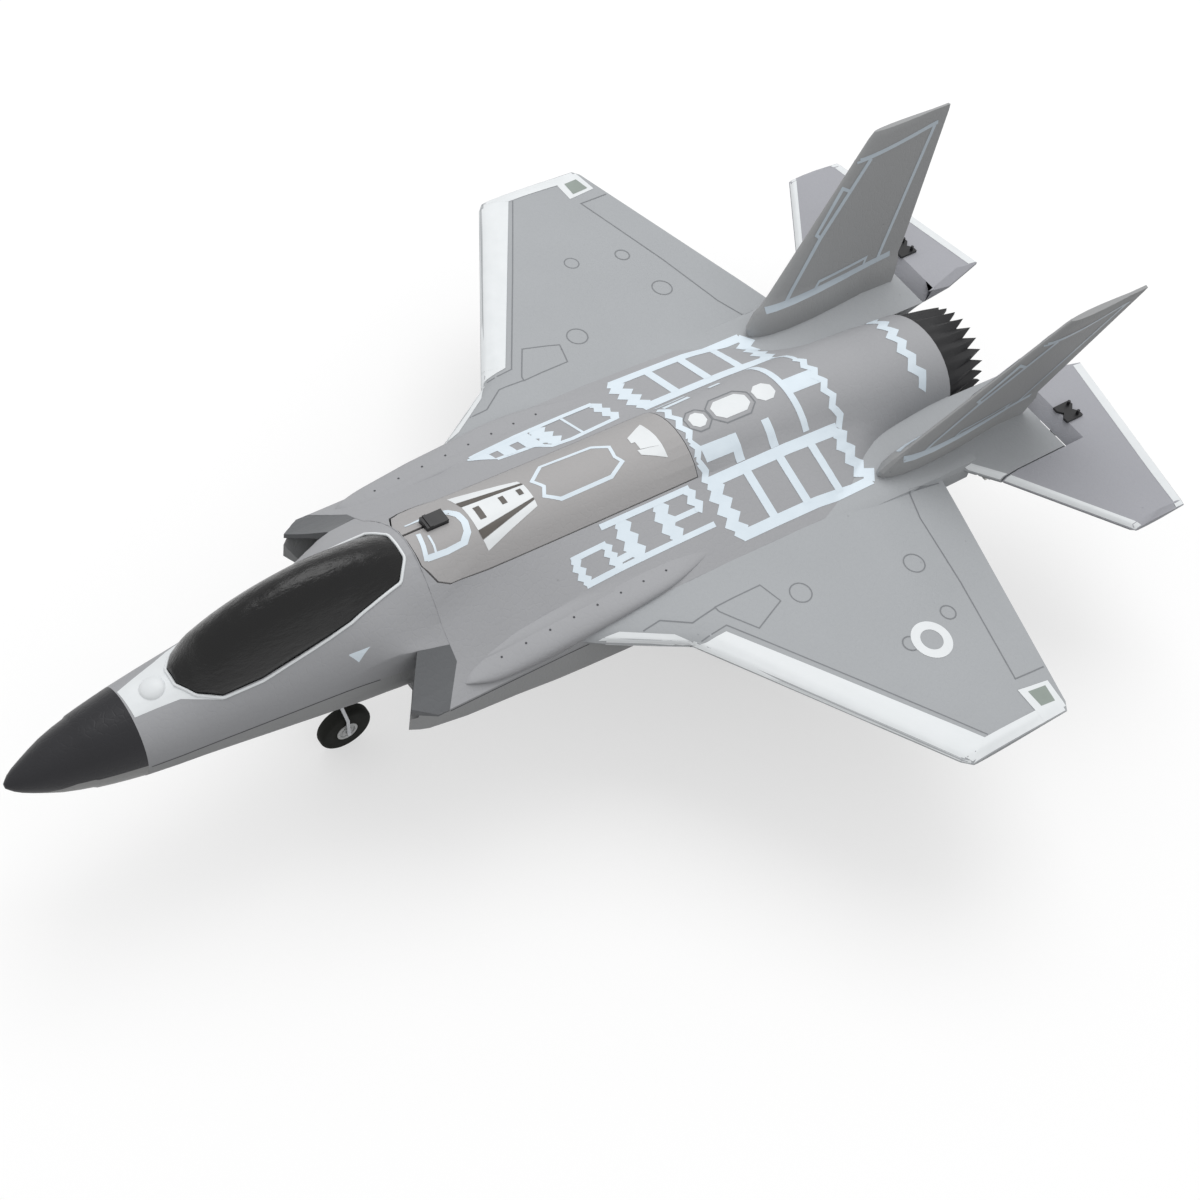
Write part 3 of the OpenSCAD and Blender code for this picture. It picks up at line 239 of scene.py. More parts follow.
def metal(name, dark, light, roughness, stretch):
    """Bare metal with drawing or turning marks; stretch draws the marks out along an axis."""
    mat, tree, base, place = new_finish(name, Metallic=1.0)
    marks = noise(tree, stretched(tree, place, stretch), 0.6, 3)
    tint(tree, base, marks, dark, light)
    gloss(tree, base, marks, roughness - 0.07, roughness + 0.1)
    relief(tree, base, marks, 0.2, 0.01)
    return mat


def foam_rubber(name, dark, light):
    """Soft foam rubber tyre: matt, close-pored, with a dusty tread."""
    mat, tree, base, place = new_finish(name, Specular_IOR_Level=0.25)
    dust = noise(tree, place, 4, 4)
    tint(tree, base, dust, dark, light)
    gloss(tree, base, dust, 0.78, 0.92)
    relief(tree, base, cell_edges(tree, place, 0.55), 0.6, 0.08)
    return mat


def enamelled_foam(name, dark, light):
    """Foam brushed with gloss black enamel: deep black, a broad soft sheen broken up by brush streaks about 1.5 mm
    apart and by the slow waves of the foam under it."""
    mat, tree, base, place = new_finish(name, Specular_IOR_Level=0.45)
    streak = noise(tree, stretched(tree, place, (1, 0.35, 1)), 1.5, 4, Roughness=0.65)
    tint(tree, base, noise(tree, place, 4, 6), dark, light)
    gloss(tree, base, streak, 0.16, 0.34)
    relief(tree, base, streak, 0.8, 0.3, Normal=bump(tree, noise(tree, place, 13), 0.6, 0.9))
    return mat


def shrink_wrap(name, dark, light):
    """Heat-shrunk PVC sleeve: bright, glossy, puckered every few millimetres."""
    mat, tree, base, place = new_finish(name, Roughness=0.22, Specular_IOR_Level=0.5)
    pucker = noise(tree, place, 5)
    tint(tree, base, pucker, dark, light)
    relief(tree, base, pucker, 0.5, 0.25)
    return mat


def pultruded_carbon(name, dark, light):
    """Pultruded carbon tube: dark, with fine silvery fibres running along it."""
    mat, tree, base, place = new_finish(name, Roughness=0.3)
    tint(tree, base, noise(tree, stretched(tree, place, (0.02, 1, 1)), 0.35, 3), dark, light)
    return mat


def solder_resist(name, dark, light):
    """Green solder resist over copper: glossy, with paler tracks about a quarter of a millimetre wide."""
    mat, tree, base, place = new_finish(name, Roughness=0.25)
    tracks = add(tree, "ShaderNodeTexBrick",
                 {"Vector": place, "Color1": (0, 0, 0, 1), "Color2": (0.1, 0.1, 0.1, 1), "Mortar": (1, 1, 1, 1),
                  "Scale": per_mm(4), "Mortar Size": 0.06, "Brick Width": 0.9, "Row Height": 0.5})
    tint(tree, base, tracks.outputs[0], dark, light)
    return mat


FINISHES = {
    "wing_foam": painted_foam("painted_foam_wing", "#9fa2a5", "#adb0b3"),
    "body_foam": painted_foam("painted_foam_body", "#9b9c9f", "#a9aaad"),
    "hatch_foam": painted_foam("painted_foam_hatch", "#a09f9f", "#aeacac"),
    # The fins' foam is the airframe's grey paint made a shade darker: painted shade for the fins' faces.
    "fin_foam": painted_foam("painted_foam_fin", "#959697", "#a2a3a4"),
    "tail_foam": painted_foam("painted_foam_tail", "#9d9ea4", "#aaabb1"),
    "lower_foam": painted_foam("painted_foam_belly", "#999a9b", "#a6a7a8"),
    "black_foam": dipped_foam("black_and_grey_painted_foam_nose", "#222225", "#2d2d31", "#8c8c8c", "#9a9a9a"),
    "lip_foam": painted_foam("dark_painted_foam_lip", "#5d5f62", "#6c6e70", roughness=0.5),
    "canopy": enamelled_foam("gloss_black_enamelled_foam_canopy", "#020203", "#070708"),
    "nozzle": moulded_plastic("matt_black_moulded_nozzle", "#161618", "#202023", 0.55, grain=0.9),
    "black_plastic": moulded_plastic("black_abs", "#151517", "#1d1d20", 0.4),
    "white_plastic": moulded_plastic("natural_white_nylon", "#dcdcd6", "#e9e9e4", 0.4),
    "prop_plastic": moulded_plastic("grey_flexible_propeller_nylon", "#bcbfc2", "#cbced1", 0.32),
    "hub_plastic": moulded_plastic("pale_grey_abs_hub", "#bfc0c0", "#cfd0d0", 0.42),
    "pod_plastic": moulded_plastic("grey_abs_pod", "#7c7e82", "#888a8e", 0.45),
    "servo_case": moulded_plastic("blue_polycarbonate_case", "#1c3f86", "#28509c", 0.2),
    "steel_can": metal("turned_steel_can", "#8f9296", "#b4b7bb", 0.3, (1, 0.1, 1)),
    "steel_wire": metal("drawn_spring_steel", "#9a9ca0", "#c6c8cb", 0.24, (1, 1, 0.15)),
    "tyre": foam_rubber("foam_rubber_tyre", "#191a18", "#282926"),
    "battery": shrink_wrap("blue_heat_shrink", "#1c4a96", "#2f66b8"),
    "board": solder_resist("green_solder_resist", "#1d5a32", "#3c8654"),
    "carbon": pultruded_carbon("pultruded_carbon", "#131416", "#2b2d30"),
    "pale_vinyl": printed_vinyl("pale_blue_vinyl", "#d6e2eb", "#e1ecf4"),
    "white_vinyl": printed_vinyl("white_vinyl", "#dde1e3", "#e8ebed"),
    "fin_vinyl": printed_vinyl("grey_blue_vinyl", "#b2bdc6", "#c0cad2"),
    "dark_vinyl": printed_vinyl("charcoal_vinyl", "#534f4b", "#625d58"),
    "olive_vinyl": printed_vinyl("olive_grey_vinyl", "#879089", "#96a09a"),
    # The panel lines are strips a little darker than the paint: painted shade in the pressed grooves.
    "pressed_line": painted_foam("shaded_panel_line", "#7a7c80", "#86898c"),
    # The seams and dimples are strips and discs of dark grey: painted shade in their grooves and hollows.
    "seam": painted_foam("shadowed_mould_seam", "#414246", "#4c4d51"),
}

NODE_FINISH = {
    "nose_cone": "black_foam", "fuselage_upper": "body_foam", "fuselage_lower": "lower_foam", "canopy": "canopy",
    "battery_hatch": "hatch_foam", "hatch_tab": "black_plastic", "battery": "battery", "receiver_board": "board",
    "intake_lip": "lip_foam", "exhaust_nozzle": "nozzle", "wing": "wing_foam", "wing_spar": "carbon",
    "fin": "fin_foam", "elevator": "tail_foam", "elevator_horn": "black_plastic", "servo": "servo_case",
    "servo_arm": "white_plastic", "pushrod": "steel_wire", "motor_pod": "pod_plastic", "motor": "steel_can",
    "propeller": "prop_plastic", "nose_gear_socket": "black_plastic", "nose_gear_wire": "steel_wire",
    "nose_hub": "hub_plastic", "nose_tyre": "tyre", "main_gear_plate": "black_plastic",
    "main_gear_wire": "steel_wire", "main_hub": "hub_plastic", "main_tyre": "tyre", "wheel_collars": "black_plastic",
}


# ---- Smooth shading of the moulded solids ----
def welded_smooth(limit):
    """Welds a mesh's loose corners and shades it smooth, except along edges that turn by more than limit degrees."""
    tree = bpy.data.node_groups.new("welded_smooth", "GeometryNodeTree")
    for way in ("INPUT", "OUTPUT"):
        tree.interface.new_socket("Geometry", in_out=way, socket_type="NodeSocketGeometry")
    start = add(tree, "NodeGroupInput")
    bare = add(tree, "GeometryNodeRemoveAttribute", {"Geometry": start.outputs[0], "Name": "custom_normal"})
    weld = add(tree, "GeometryNodeMergeByDistance", {"Geometry": bare.outputs[0], "Distance": 0.002 * MM})
    turn = add(tree, "GeometryNodeInputMeshEdgeAngle")
    sharp = work_out(tree, "GREATER_THAN", turn.outputs[0], math.radians(limit))
    soft = add(tree, "GeometryNodeSetShadeSmooth", {"Geometry": weld.outputs[0], "Shade Smooth": True}, domain="FACE")
    crease = add(tree, "GeometryNodeSetShadeSmooth", {"Geometry": soft.outputs[0], "Selection": sharp,
                                                      "Shade Smooth": False}, domain="EDGE")
    add(tree, "NodeGroupOutput", {0: crease.outputs[0]})
    return tree


SMOOTHING = welded_smooth(34)


def shade(obj):
    """Gives a faceted solid smooth shading and leaves its shape alone."""
    obj.modifiers.new("welded_smooth", "NODES").node_group = SMOOTHING
    obj.modifiers.new("even_shading", "WEIGHTED_NORMAL").keep_sharp = True


for name, obj in nodes.items():
    base_name = name.replace("_left", "").replace("_right", "")
    obj.data.materials.clear()
    obj.data.materials.append(FINISHES[NODE_FINISH[base_name]])
    shade(obj)


# ---- Mesh making ----
def make(name, points, faces, body, finish):
    """A smooth mesh from an array of points in millimetres, of any shape, and faces, riding on a body."""
    mesh = bpy.data.meshes.new(name)
    mesh.from_pydata((points.reshape(-1, 3) * MM + ORIGIN).tolist(), [], faces.tolist())
    mesh.shade_smooth()
    mesh.materials.append(FINISHES[finish])
    obj = bpy.data.objects.new(name, mesh)
    bpy.context.scene.collection.objects.link(obj)
    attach(obj, body)
    return obj


def net(rows, columns):
    """Quads joining neighbouring points of a grid of rows by columns, numbered row by row."""
    i = np.arange(rows * columns).reshape(rows, columns)
    return np.stack([i[:-1, :-1], i[:-1, 1:], i[1:, 1:], i[1:, :-1]], -1).reshape(-1, 4)


def unit(vectors):
    """Rows scaled to length 1."""
    return vectors / np.maximum(np.linalg.norm(vectors, axis=1, keepdims=True), 1e-9)


def ramp(v, low, high):
    """Smooth step from 0 at low to 1 at high."""
    t = np.clip((v - low) / (high - low), 0, 1)
    return t * t * (3 - 2 * t)


def curve(table, v):
    """Cubic Hermite curve through rows of station and value; the slope at a row is that of the chord between its
    neighbours."""
    x, y = np.asarray(table, float).T
    k = np.arange(len(x))
    before, after = np.maximum(k - 1, 0), np.minimum(k + 1, len(x) - 1)
    slope = (y[after] - y[before]) / (x[after] - x[before])
    i = np.clip(np.searchsorted(x, v, side="right") - 1, 0, len(x) - 2)
    h = x[i + 1] - x[i]
    u = np.clip((v - x[i]) / h, 0, 1)
    return ((1 + 2 * u) * (1 - u) ** 2 * y[i] + u * (1 - u) ** 2 * slope[i] * h
            + u ** 2 * (3 - 2 * u) * y[i + 1] + u ** 2 * (u - 1) * slope[i + 1] * h)


def triangles(obj):
    """Corners of an object's triangles in metres, as an array of triangle, corner and axis."""
    mesh = obj.data
    mesh.calc_loop_triangles()
    co = np.empty(len(mesh.vertices) * 3)
    mesh.vertices.foreach_get("co", co)
    corner = np.empty(len(mesh.loop_triangles) * 3, int)
    mesh.loop_triangles.foreach_get("vertices", corner)
    return co.reshape(-1, 3)[corner].reshape(-1, 3, 3)


def cross2(a, b):
    """Cross product of vectors in the plane."""
    return a[..., 0] * b[..., 1] - a[..., 1] * b[..., 0]


def drape(tris, plan, batch=300):
    """Height of the topmost triangle over each plan point by barycentric weights, and nan where there is none."""
    low, high = plan.min(0), plan.max(0)
    near = (tris[:, :, :2].max(1) >= low).all(1) & (tris[:, :, :2].min(1) <= high).all(1)
    a, b, c = (tris[near][:, k] for k in range(3))
    area = cross2((b - a)[:, :2], (c - a)[:, :2])
    good = abs(area) > 1e-7
    a, b, c, area = a[good], b[good], c[good], area[good]
    height = np.full(len(plan), -np.inf)
    for part in np.array_split(np.arange(len(plan)), len(plan) // batch + 1):
        p = plan[part][:, None] - a[None, :, :2]
        u = cross2(p, (c - a)[None, :, :2]) / area
        v = cross2((b - a)[None, :, :2], p) / area
        inside = (u > -1e-6) & (v > -1e-6) & (u + v < 1 + 1e-6)
        z = a[:, 2] + u * (b - a)[:, 2] + v * (c - a)[:, 2]
        height[part] = np.where(inside, z, -np.inf).max(1)
    return np.where(np.isfinite(height), height, np.nan)


def skin(on):
    """Triangles, in millimetres, of some nodes given by name and some made pieces."""
    return (np.concatenate([triangles(nodes[n] if isinstance(n, str) else n) for n in on]) - ORIGIN) / MM


# ---- Canopy ----
FORE_EDGE = [[0, -7], [18, -7.1], [40, -7], [80, -5.4], [130, -2.8], [150, -2.8]]
CANOPY_TOP = [[55, 12], [60, 17], [66, 23.4], [82, 30.7], [102, 34.5], [116, 33.7], [129, 30.7], [136, 28.1]]
CANOPY_ARCH = [[55, 9], [60, 11.9], [66, 13.6], [82, 15.2], [111, 16.6], [129, 18], [136, 19]]
CANOPY_PLAN = [[56, 3], [60, 8.3], [67, 12], [80, 13.3], [111, 13.3], [130, 10.6], [134.5, 5]]
RIM_INSET, RIM_DROP = 0.15, 2.2


def canopy_shell():
    """At station y the shell is half an ellipse of half width arch(y) from the forebody's widest line up to top(y),
    kept between plus and minus the outline's half width; its rim turns down all round."""
    y = np.linspace(56.15, 134.35, 130)
    half = np.interp(y, *np.asarray(CANOPY_PLAN).T) - RIM_INSET
    edge, top, arch = (curve(t, y)[:, None] for t in (FORE_EDGE, CANOPY_TOP, CANOPY_ARCH))
    x = half[:, None] * np.sin(np.linspace(-math.pi / 2, math.pi / 2, 61))[None]
    z = edge + (top - edge) * np.sqrt(np.maximum(0, 1 - (x / arch) ** 2))
    shell = np.stack([x, np.broadcast_to(y[:, None], x.shape), z], -1)
    rim = np.pad(shell, ((1, 1), (1, 1), (0, 0)), mode="edge")
    drop = np.ones(rim.shape[:2])
    drop[1:-1, 1:-1] = 0
    rim[..., 2] -= RIM_DROP * drop
    return make("canopy_shell", rim, net(*rim.shape[:2])[:, ::-1], "airframe", "canopy")


canopy = canopy_shell()
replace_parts(canopy, "canopy")


# ---- Lower shell ----
SPLIT, EDGE = -3.3, -4.3  # the mouldings' joint, and the widest line under it
KEEL = -26.5
HALF_BEAM = 45
ROUNDNESS, SQUARER = 3.5, 3


def lower_shell():
    """The lower half's solid with the section of its intake trays worked over. A section is a superellipse of power
    3.5 in x over the half beam and depth over the full depth; scaling both by
    r = (a^3.5 + d^3.5)^(1/3.5) / (a^n + d^n)^(1/n) makes it one of power n, which climbs to 6.5 behind the trays.
    Ahead of that the depth under the split plane shrinks to half at the front corner."""
    corners = triangles(nodes["fuselage_lower"]).reshape(-1, 3)
    grid, place = np.unique(np.round(corners, 7), axis=0, return_inverse=True)
    faces = place.reshape(-1, 3)
    faces = faces[(faces[:, 0] != faces[:, 1]) & (faces[:, 1] != faces[:, 2]) & (faces[:, 2] != faces[:, 0])]
    x, y, z = ((grid - ORIGIN) / MM).T
    side = ramp(abs(x), 19, 27) * (z < SPLIT + 0.05)
    across, deep = abs(x) / HALF_BEAM, np.maximum(0, (EDGE - z) / (EDGE - KEEL))
    power = ROUNDNESS + SQUARER * ramp(y, 150, 200) * (1 - ramp(y, 270, 300))
    grown = ((across ** ROUNDNESS + deep ** ROUNDNESS) ** (1 / ROUNDNESS)
             / np.maximum(across ** power + deep ** power, 1e-9) ** (1 / power))
    grown = 1 + (np.clip(grown, 1, 1.15) - 1) * side
    x = np.sign(x) * np.minimum(abs(x) * grown, np.maximum(abs(x), HALF_BEAM))
    z = np.where(z < EDGE, EDGE - (EDGE - z) * grown, z)
    z = np.where(side > 0, np.maximum(z, KEEL), z)
    shrink = 1 - 0.5 * (1 - ramp(y, 116, 150)) * side * (y > 110)
    z = np.where(z < SPLIT, SPLIT + (z - SPLIT) * shrink, z)
    shell = make("lower_shell", np.stack([x, y, z], 1), faces, "airframe", "lower_foam")
    shade(shell)
    return shell


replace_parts(lower_shell(), "fuselage_lower")

# ---- Long bulges on the shoulders' outer edges ----
BULGE_UPPER = [[137.5, 40.6], [141, 38.4], [151, 36.2], [166, 36], [186, 36.2], [206, 36.2], [220, 36.4],
               [239.5, 38.4]]
BULGE_LOWER = [[137.5, 40.8], [141, 42.2], [148, 43.9], [162, 44.6], [183, 44.9], [203, 44.9], [220, 43.6],
               [239.5, 38.6]]
BULGE_FOOT = [[137.5, 0.7], [141, 0], [148, -1], [162, -1], [183, 0.8], [203, 3.6], [220, 5.6], [239.5, 7.6]]
BULGE_CROWN = 4.3
BULGE_WAY = np.array([0.62, 0, 0.78])


def shoulder_bulge(side, sign):
    """Between an upper line on the shoulder and a lower line on the side wall the surface is their straight join,
    swollen outwards by crown times 1.45 v^0.9 (1 - v^2.5)^(1/2): it leaves the shoulder gently and ends in a crease
    below. Crown fades to nothing at both tips."""
    y = np.linspace(138, 239, 90)
    upper = np.stack([curve(BULGE_UPPER, y), y], 1)
    upper = np.column_stack([upper, drape(skin(["fuselage_upper", "wing_left"]), upper) - 0.15])
    lower = np.stack([curve(BULGE_LOWER, y), y, curve(BULGE_FOOT, y)], 1)
    v = (1 - np.cos(np.linspace(0, math.pi, 17)))[None, :, None] / 2
    u = (y - y[0]) / np.ptp(y)
    crown = (BULGE_CROWN * np.minimum(1, np.sqrt(u / 0.3)) * (1 - ramp(u, 0.55, 1)) ** 0.8)[:, None, None]
    swell = 1.45 * v ** 0.9 * np.sqrt(np.maximum(0, 1 - v ** 2.5))
    surface = upper[:, None] * (1 - v) + lower[:, None] * v + crown * swell * BULGE_WAY
    faces = net(*surface.shape[:2])
    return make(f"shoulder_bulge_{side}", surface * [sign, 1, 1], faces if sign < 0 else faces[:, ::-1],
                "airframe", "body_foam")


BULGES = [shoulder_bulge(side, sign) for side, sign in SIDES]

# ---- White bead round the canopy, and the sensor bump ahead of it ----
CLEAR_OF_SEAT = 5  # lower heights belong to the canopy's seat and not to the outer skin


def canopy_bead(radius=0.54, count=240, sides=8):
    """A round bead along the canopy's outline, 0.45 mm outside it and as high as the skin there. Each ring lies in
    the plane square to the path, its first arm level."""
    half = np.asarray(CANOPY_PLAN)
    loop = np.vstack([half[:, ::-1], half[::-1, ::-1] * [-1, 1]])
    loop = np.vstack([loop, loop[:1]])
    run = np.r_[0, np.cumsum(np.linalg.norm(np.diff(loop, axis=0), axis=1))]
    t = np.linspace(0, run[-1], count, endpoint=False)
    rim = np.stack([np.interp(t, run, loop[:, 0]), np.interp(t, run, loop[:, 1])], 1)
    outward = unit((np.roll(rim, -1, 0) - np.roll(rim, 1, 0))[:, ::-1] * [-1, 1])
    outward *= np.sign((outward * (rim - [0, 95])).sum(1, keepdims=True))
    near = drape(skin(["fuselage_upper"]), rim + 0.9 * outward)
    known = np.isfinite(near) & (near > CLEAR_OF_SEAT)
    height = np.interp(np.arange(count), np.flatnonzero(known), near[known])
    height = (np.roll(height, 1) + height + np.roll(height, -1)) / 3
    path = np.column_stack([rim + 0.45 * outward, height + 0.4])
    way = unit(np.roll(path, -1, 0) - np.roll(path, 1, 0))
    level = unit(np.cross(way, [0, 0, 1]))
    upright = np.cross(level, way)
    q = np.linspace(0, 2 * math.pi, sides + 1)[None, :, None]
    rings = path[:, None] + radius * (np.cos(q) * level[:, None] + np.sin(q) * upright[:, None])
    rings = np.concatenate([rings, rings[:1]])
    return make("canopy_bead", rings, net(*rings.shape[:2]), "airframe", "white_vinyl")


def sensor_bump(station=49.4, radius=4.2, rise=1.9, sunk=0.2):
    """A round dome at the collar's middle: its height over the skin is rise (1 - r^2)^(1/2)."""
    r, q = np.linspace(0, 1, 14)[:, None], np.linspace(0, 2 * math.pi, 41)[None]
    x, y = radius * r * np.cos(q), station + radius * r * np.sin(q)
    base = drape(skin(["fuselage_upper"]), np.stack([x, y], -1).reshape(-1, 2)).reshape(x.shape)
    base = np.where(base > CLEAR_OF_SEAT, base, np.nanmax(base))
    top = base - sunk + rise * np.sqrt(np.maximum(0, 1 - r ** 2)) * np.ones_like(q)
    return make("sensor_bump", np.stack([x, y, top], -1), net(*x.shape), "airframe", "white_vinyl")


canopy_bead()
sensor_bump()


# ---- Flat outlines, each a strip between two side lines of as many corners ----
def band(path, width, closed=False):
    """The two sides of a strip along a path: each corner moves half the width along its mitre."""
    p = np.asarray(path, float)
    after = unit(np.roll(p, -1, 0) - p)
    before = np.roll(after, 1, 0)
    if not closed:
        after[-1], before[0] = before[-1], after[0]
    side = unit(np.stack([-(after + before)[:, 1], (after + before)[:, 0]], 1))
    square = np.stack([-after[:, 1], after[:, 0]], 1)
    reach = width / 2 / np.maximum((side * square).sum(1, keepdims=True), 0.35)
    left, right = p + side * reach, p - side * reach
    if closed:
        left, right = np.vstack([left, left[:1]]), np.vstack([right, right[:1]])
    return left, right


def zigzag(path, teeth, height, width):
    """A strip whose middle line swings to either side of a path by height, teeth times."""
    p = np.asarray(path, float)
    run = np.r_[0, np.cumsum(np.linalg.norm(np.diff(p, axis=0), axis=1))]
    t = np.linspace(0, run[-1], 2 * teeth + 1)
    line = np.stack([np.interp(t, run, p[:, 0]), np.interp(t, run, p[:, 1])], 1)
    way = unit(np.gradient(line, axis=0))
    swing = height * np.where(np.arange(len(t)) % 2, 1, -1)
    return band(line + np.stack([-way[:, 1], way[:, 0]], 1) * swing[:, None], width)


def ring(x, y, radius, width, count=48):
    """A closed strip round a circle."""
    q = np.linspace(0, 2 * math.pi, count, endpoint=False)
    return band(np.stack([x + radius * np.cos(q), y + radius * np.sin(q)], 1), width, closed=True)


def disc(x, y, radius, count):
    """A filled circle, as the strip between its left and right halves."""
    q = np.linspace(0, math.pi, count)
    return tuple(np.stack([x + way * radius * np.sin(q), y - radius * np.cos(q)], 1) for way in (-1, 1))


def lozenge(x, y, half_length, half_width, corner):
    """A hexagon stretched along the aircraft, as the strip between its two sides."""
    dy = np.array([-half_length, corner - half_length, half_length - corner, half_length])
    dx = half_width * np.array([0.45, 1, 1, 0.45])
    return np.stack([x - dx, y + dy], 1), np.stack([x + dx, y + dy], 1)


def outline(shape):
    """The closed path round a strip's two sides."""
    left, right = shape
    return np.vstack([left, right[::-1]])


def block(left, right):
    """A filled shape between two side lines."""
    return np.asarray(left, float), np.asarray(right, float)


def mirrored(shape):
    """The same shape on the other side of the centreline."""
    return tuple(s * [-1, 1] for s in shape)


def both(shapes):
    """Each shape followed by its mirror image."""
    return [s for shape in shapes for s in (shape, mirrored(shape))]


def on_side(shapes, sign):
    """Shapes drawn for the port side, mirrored where sign is -1."""
    return shapes if sign > 0 else [mirrored(shape) for shape in shapes]


def patch_points(shape, grain):
    """A grid over a strip, no coarser than grain; corners of the side lines stay corners of the grid."""
    left, right = shape
    lengths = [np.linalg.norm(np.diff(s, axis=0), axis=1) for s in (left, right)]
    cuts = np.maximum(1, np.ceil(np.maximum(*lengths) / grain).astype(int))
    starts = np.repeat(np.arange(len(cuts)), cuts)
    within = np.arange(cuts.sum()) - np.repeat(np.cumsum(cuts) - cuts, cuts)
    t = np.r_[starts + within / np.repeat(cuts, cuts), len(left) - 1]
    k = np.arange(len(left))
    l, r = (np.stack([np.interp(t, k, s[:, 0]), np.interp(t, k, s[:, 1])], 1) for s in (left, right))
    count = max(2, int(np.ceil(np.linalg.norm(l - r, axis=1).max() / grain)) + 1)
    v = np.linspace(0, 1, count)[None, :, None]
    return l[:, None] * (1 - v) + r[:, None] * v


STEEPEST = 2.6  # a quad that climbs more than this many grains has run off the skin's edge
HAIR = 0.008


def laid(name, shapes, on, finish, body="airframe", lift=0.1, grain=1.4, across=(1, 0, 0), along=(0, 1, 0),
         out=(0, 0, 1), origin=(0, 0, 0)):
    """Lays flat shapes on the outermost skin of some nodes, seen against the direction out. Plan points are counted
    in millimetres along across and along from origin. Each shape's height is the skin's plus a lift, a hair more
    for each next one, so none coincide."""
    basis, origin = np.array([across, along, out], float), np.asarray(origin, float)
    tris = (skin(on) - origin) @ basis.T
    points, faces, total = [], [], 0
    for k, shape in enumerate(shapes):
        grid = patch_points(shape, grain)
        plan = grid.reshape(-1, 2)
        height = drape(tris, plan)
        quads = net(*grid.shape[:2])
        quads = quads[np.isfinite(height[quads]).all(1)]
        quads = quads[np.ptp(height[quads], axis=1) < STEEPEST * grain]
        local = np.column_stack([plan, np.nan_to_num(height) + lift + HAIR * (k % 9)])
        turned = cross2(local[quads[:, 1]] - local[quads[:, 0]], local[quads[:, 3]] - local[quads[:, 0]]) < 0
        quads[turned] = quads[turned][:, ::-1]
        points.append(local)
        faces.append(quads + total)
        total += len(local)
    local, quads = np.concatenate(points), np.concatenate(faces)
    used = np.unique(quads)
    local, quads = local[used], np.searchsorted(used, quads)
    if np.linalg.det(basis) < 0:
        quads = quads[:, ::-1]
    return make(name, local @ basis + origin, quads, body, finish)


# ---- Markings of the spine and the shoulders ----
DECK = ["fuselage_upper", "wing_left", "wing_right"]
WINGS = ["wing_left", "wing_right"]
HEX_SMALL, HEX_LONG = lozenge(0.5, 255.8, 3.2, 3.1, 2.1), lozenge(0.2, 270.4, 7.6, 4.1, 3)
HEX_AFT = lozenge(0.1, 285.4, 4.3, 3.8, 2.5)
comb = [
    band([(19.5, 248.6), (19.6, 307.4)], 3.8), band([(39.4, 250), (39.2, 310)], 3.7),
    band([(21, 264.4), (38.4, 265.5)], 3.4), band([(21, 279.1), (38.4, 280.6)], 3.4),
    band([(21, 293.6), (38.4, 296)], 3.4), zigzag([(19.6, 249.6), (39.6, 250.2)], 4, 1.4, 4),
    zigzag([(19.8, 306.2), (38.8, 310.6)], 4, 1.5, 4),
]
spine = [
    zigzag([(-12, 249.2), (19, 248.4)], 5, 1.1, 2.4), zigzag([(-9.4, 308.4), (19.4, 309.3)], 5, 1.2, 2.6),
    band([(-19, 306.8), (-14, 308.2), (-9.2, 308.4)], 2), band([(-16.8, 293.6), (17, 294.2)], 2.8),
    block([(-1.5, 294), (-1.5, 308.6)], [(5, 294), (5, 308.6)]),
    block([(9.3, 250.4), (9.8, 266)], [(14.2, 251), (14.4, 262.6)]),
    block([(9.6, 262.5), (9.8, 266)], [(17.4, 262.5), (17.4, 266.2)]),
    block([(9.4, 277.5), (9.4, 280.9)], [(17.6, 277.6), (17.6, 281.2)]),
    band([(-11.8, 250.6), (-12.3, 262.4)], 1.6), band([(-14.8, 249.6), (-15.1, 263)], 1.2),
    band([(-13.2, 272), (-13.3, 277)], 1.3),
]
shoulder = [
    band([(18.3, 203.6), (18.3, 241)], 2), zigzag([(18.3, 239.6), (26.4, 240.6)], 2, 1, 2.8),
    band([(25.6, 228.4), (25.6, 240.4)], 1.8), zigzag([(18.8, 226.6), (31.8, 227.5)], 3, 1.1, 4.2),
    zigzag([(18.8, 210.8), (31.8, 211.6)], 3, 1.1, 4.2), band([(32.2, 189.6), (32.2, 243)], 1.9),
    band([(23.7, 188.6), (23.5, 202.8)], 1.8), zigzag([(23.6, 189.4), (32.2, 190.4)], 3, 0.8, 2.3),
    zigzag([(23.6, 202), (32.2, 203)], 3, 0.8, 2.3), band([(29.8, 203.4), (29.6, 209.8)], 2.2),
]
far_shoulder = [
    band([(-33, 185.8), (-32.9, 236.8)], 2),
    band([(-25.4, 191.6), (-23.6, 205.6), (-19.8, 210), (-19, 218), (-20.2, 238.4)], 1.8),
    zigzag([(-32.6, 236.6), (-20.4, 238)], 3, 0.9, 3), band([(-32.6, 222.8), (-19.4, 223.2)], 1.1),
    zigzag([(-32.6, 211), (-20.4, 212.4)], 3, 1.2, 4.2),
    block([(-33, 184.6), (-33, 191.6)], [(-32, 184.6), (-25.2, 191.6)]),
    block([(-33, 191.6), (-33, 208.6)], [(-30, 191.6), (-29.4, 208.6)]),
    block([(-30, 194.8), (-29.8, 199.6)], [(-25, 194.8), (-24.2, 199.6)]),
    block([(-29.6, 203), (-29.4, 208.6)], [(-23.6, 203), (-21, 208.6)]),
]
tail_band = [zigzag([(-21.5, 355.6), (-12.4, 353), (0, 349.8), (10, 349.4), (18, 351.4)], 6, 1.5, 3.4)]
laid("spine_and_shoulder_vinyl", both(comb) + spine + shoulder + far_shoulder + tail_band, DECK, "pale_vinyl")
laid("spine_hexagon_vinyl", [HEX_SMALL, HEX_LONG, HEX_AFT], DECK, "white_vinyl")

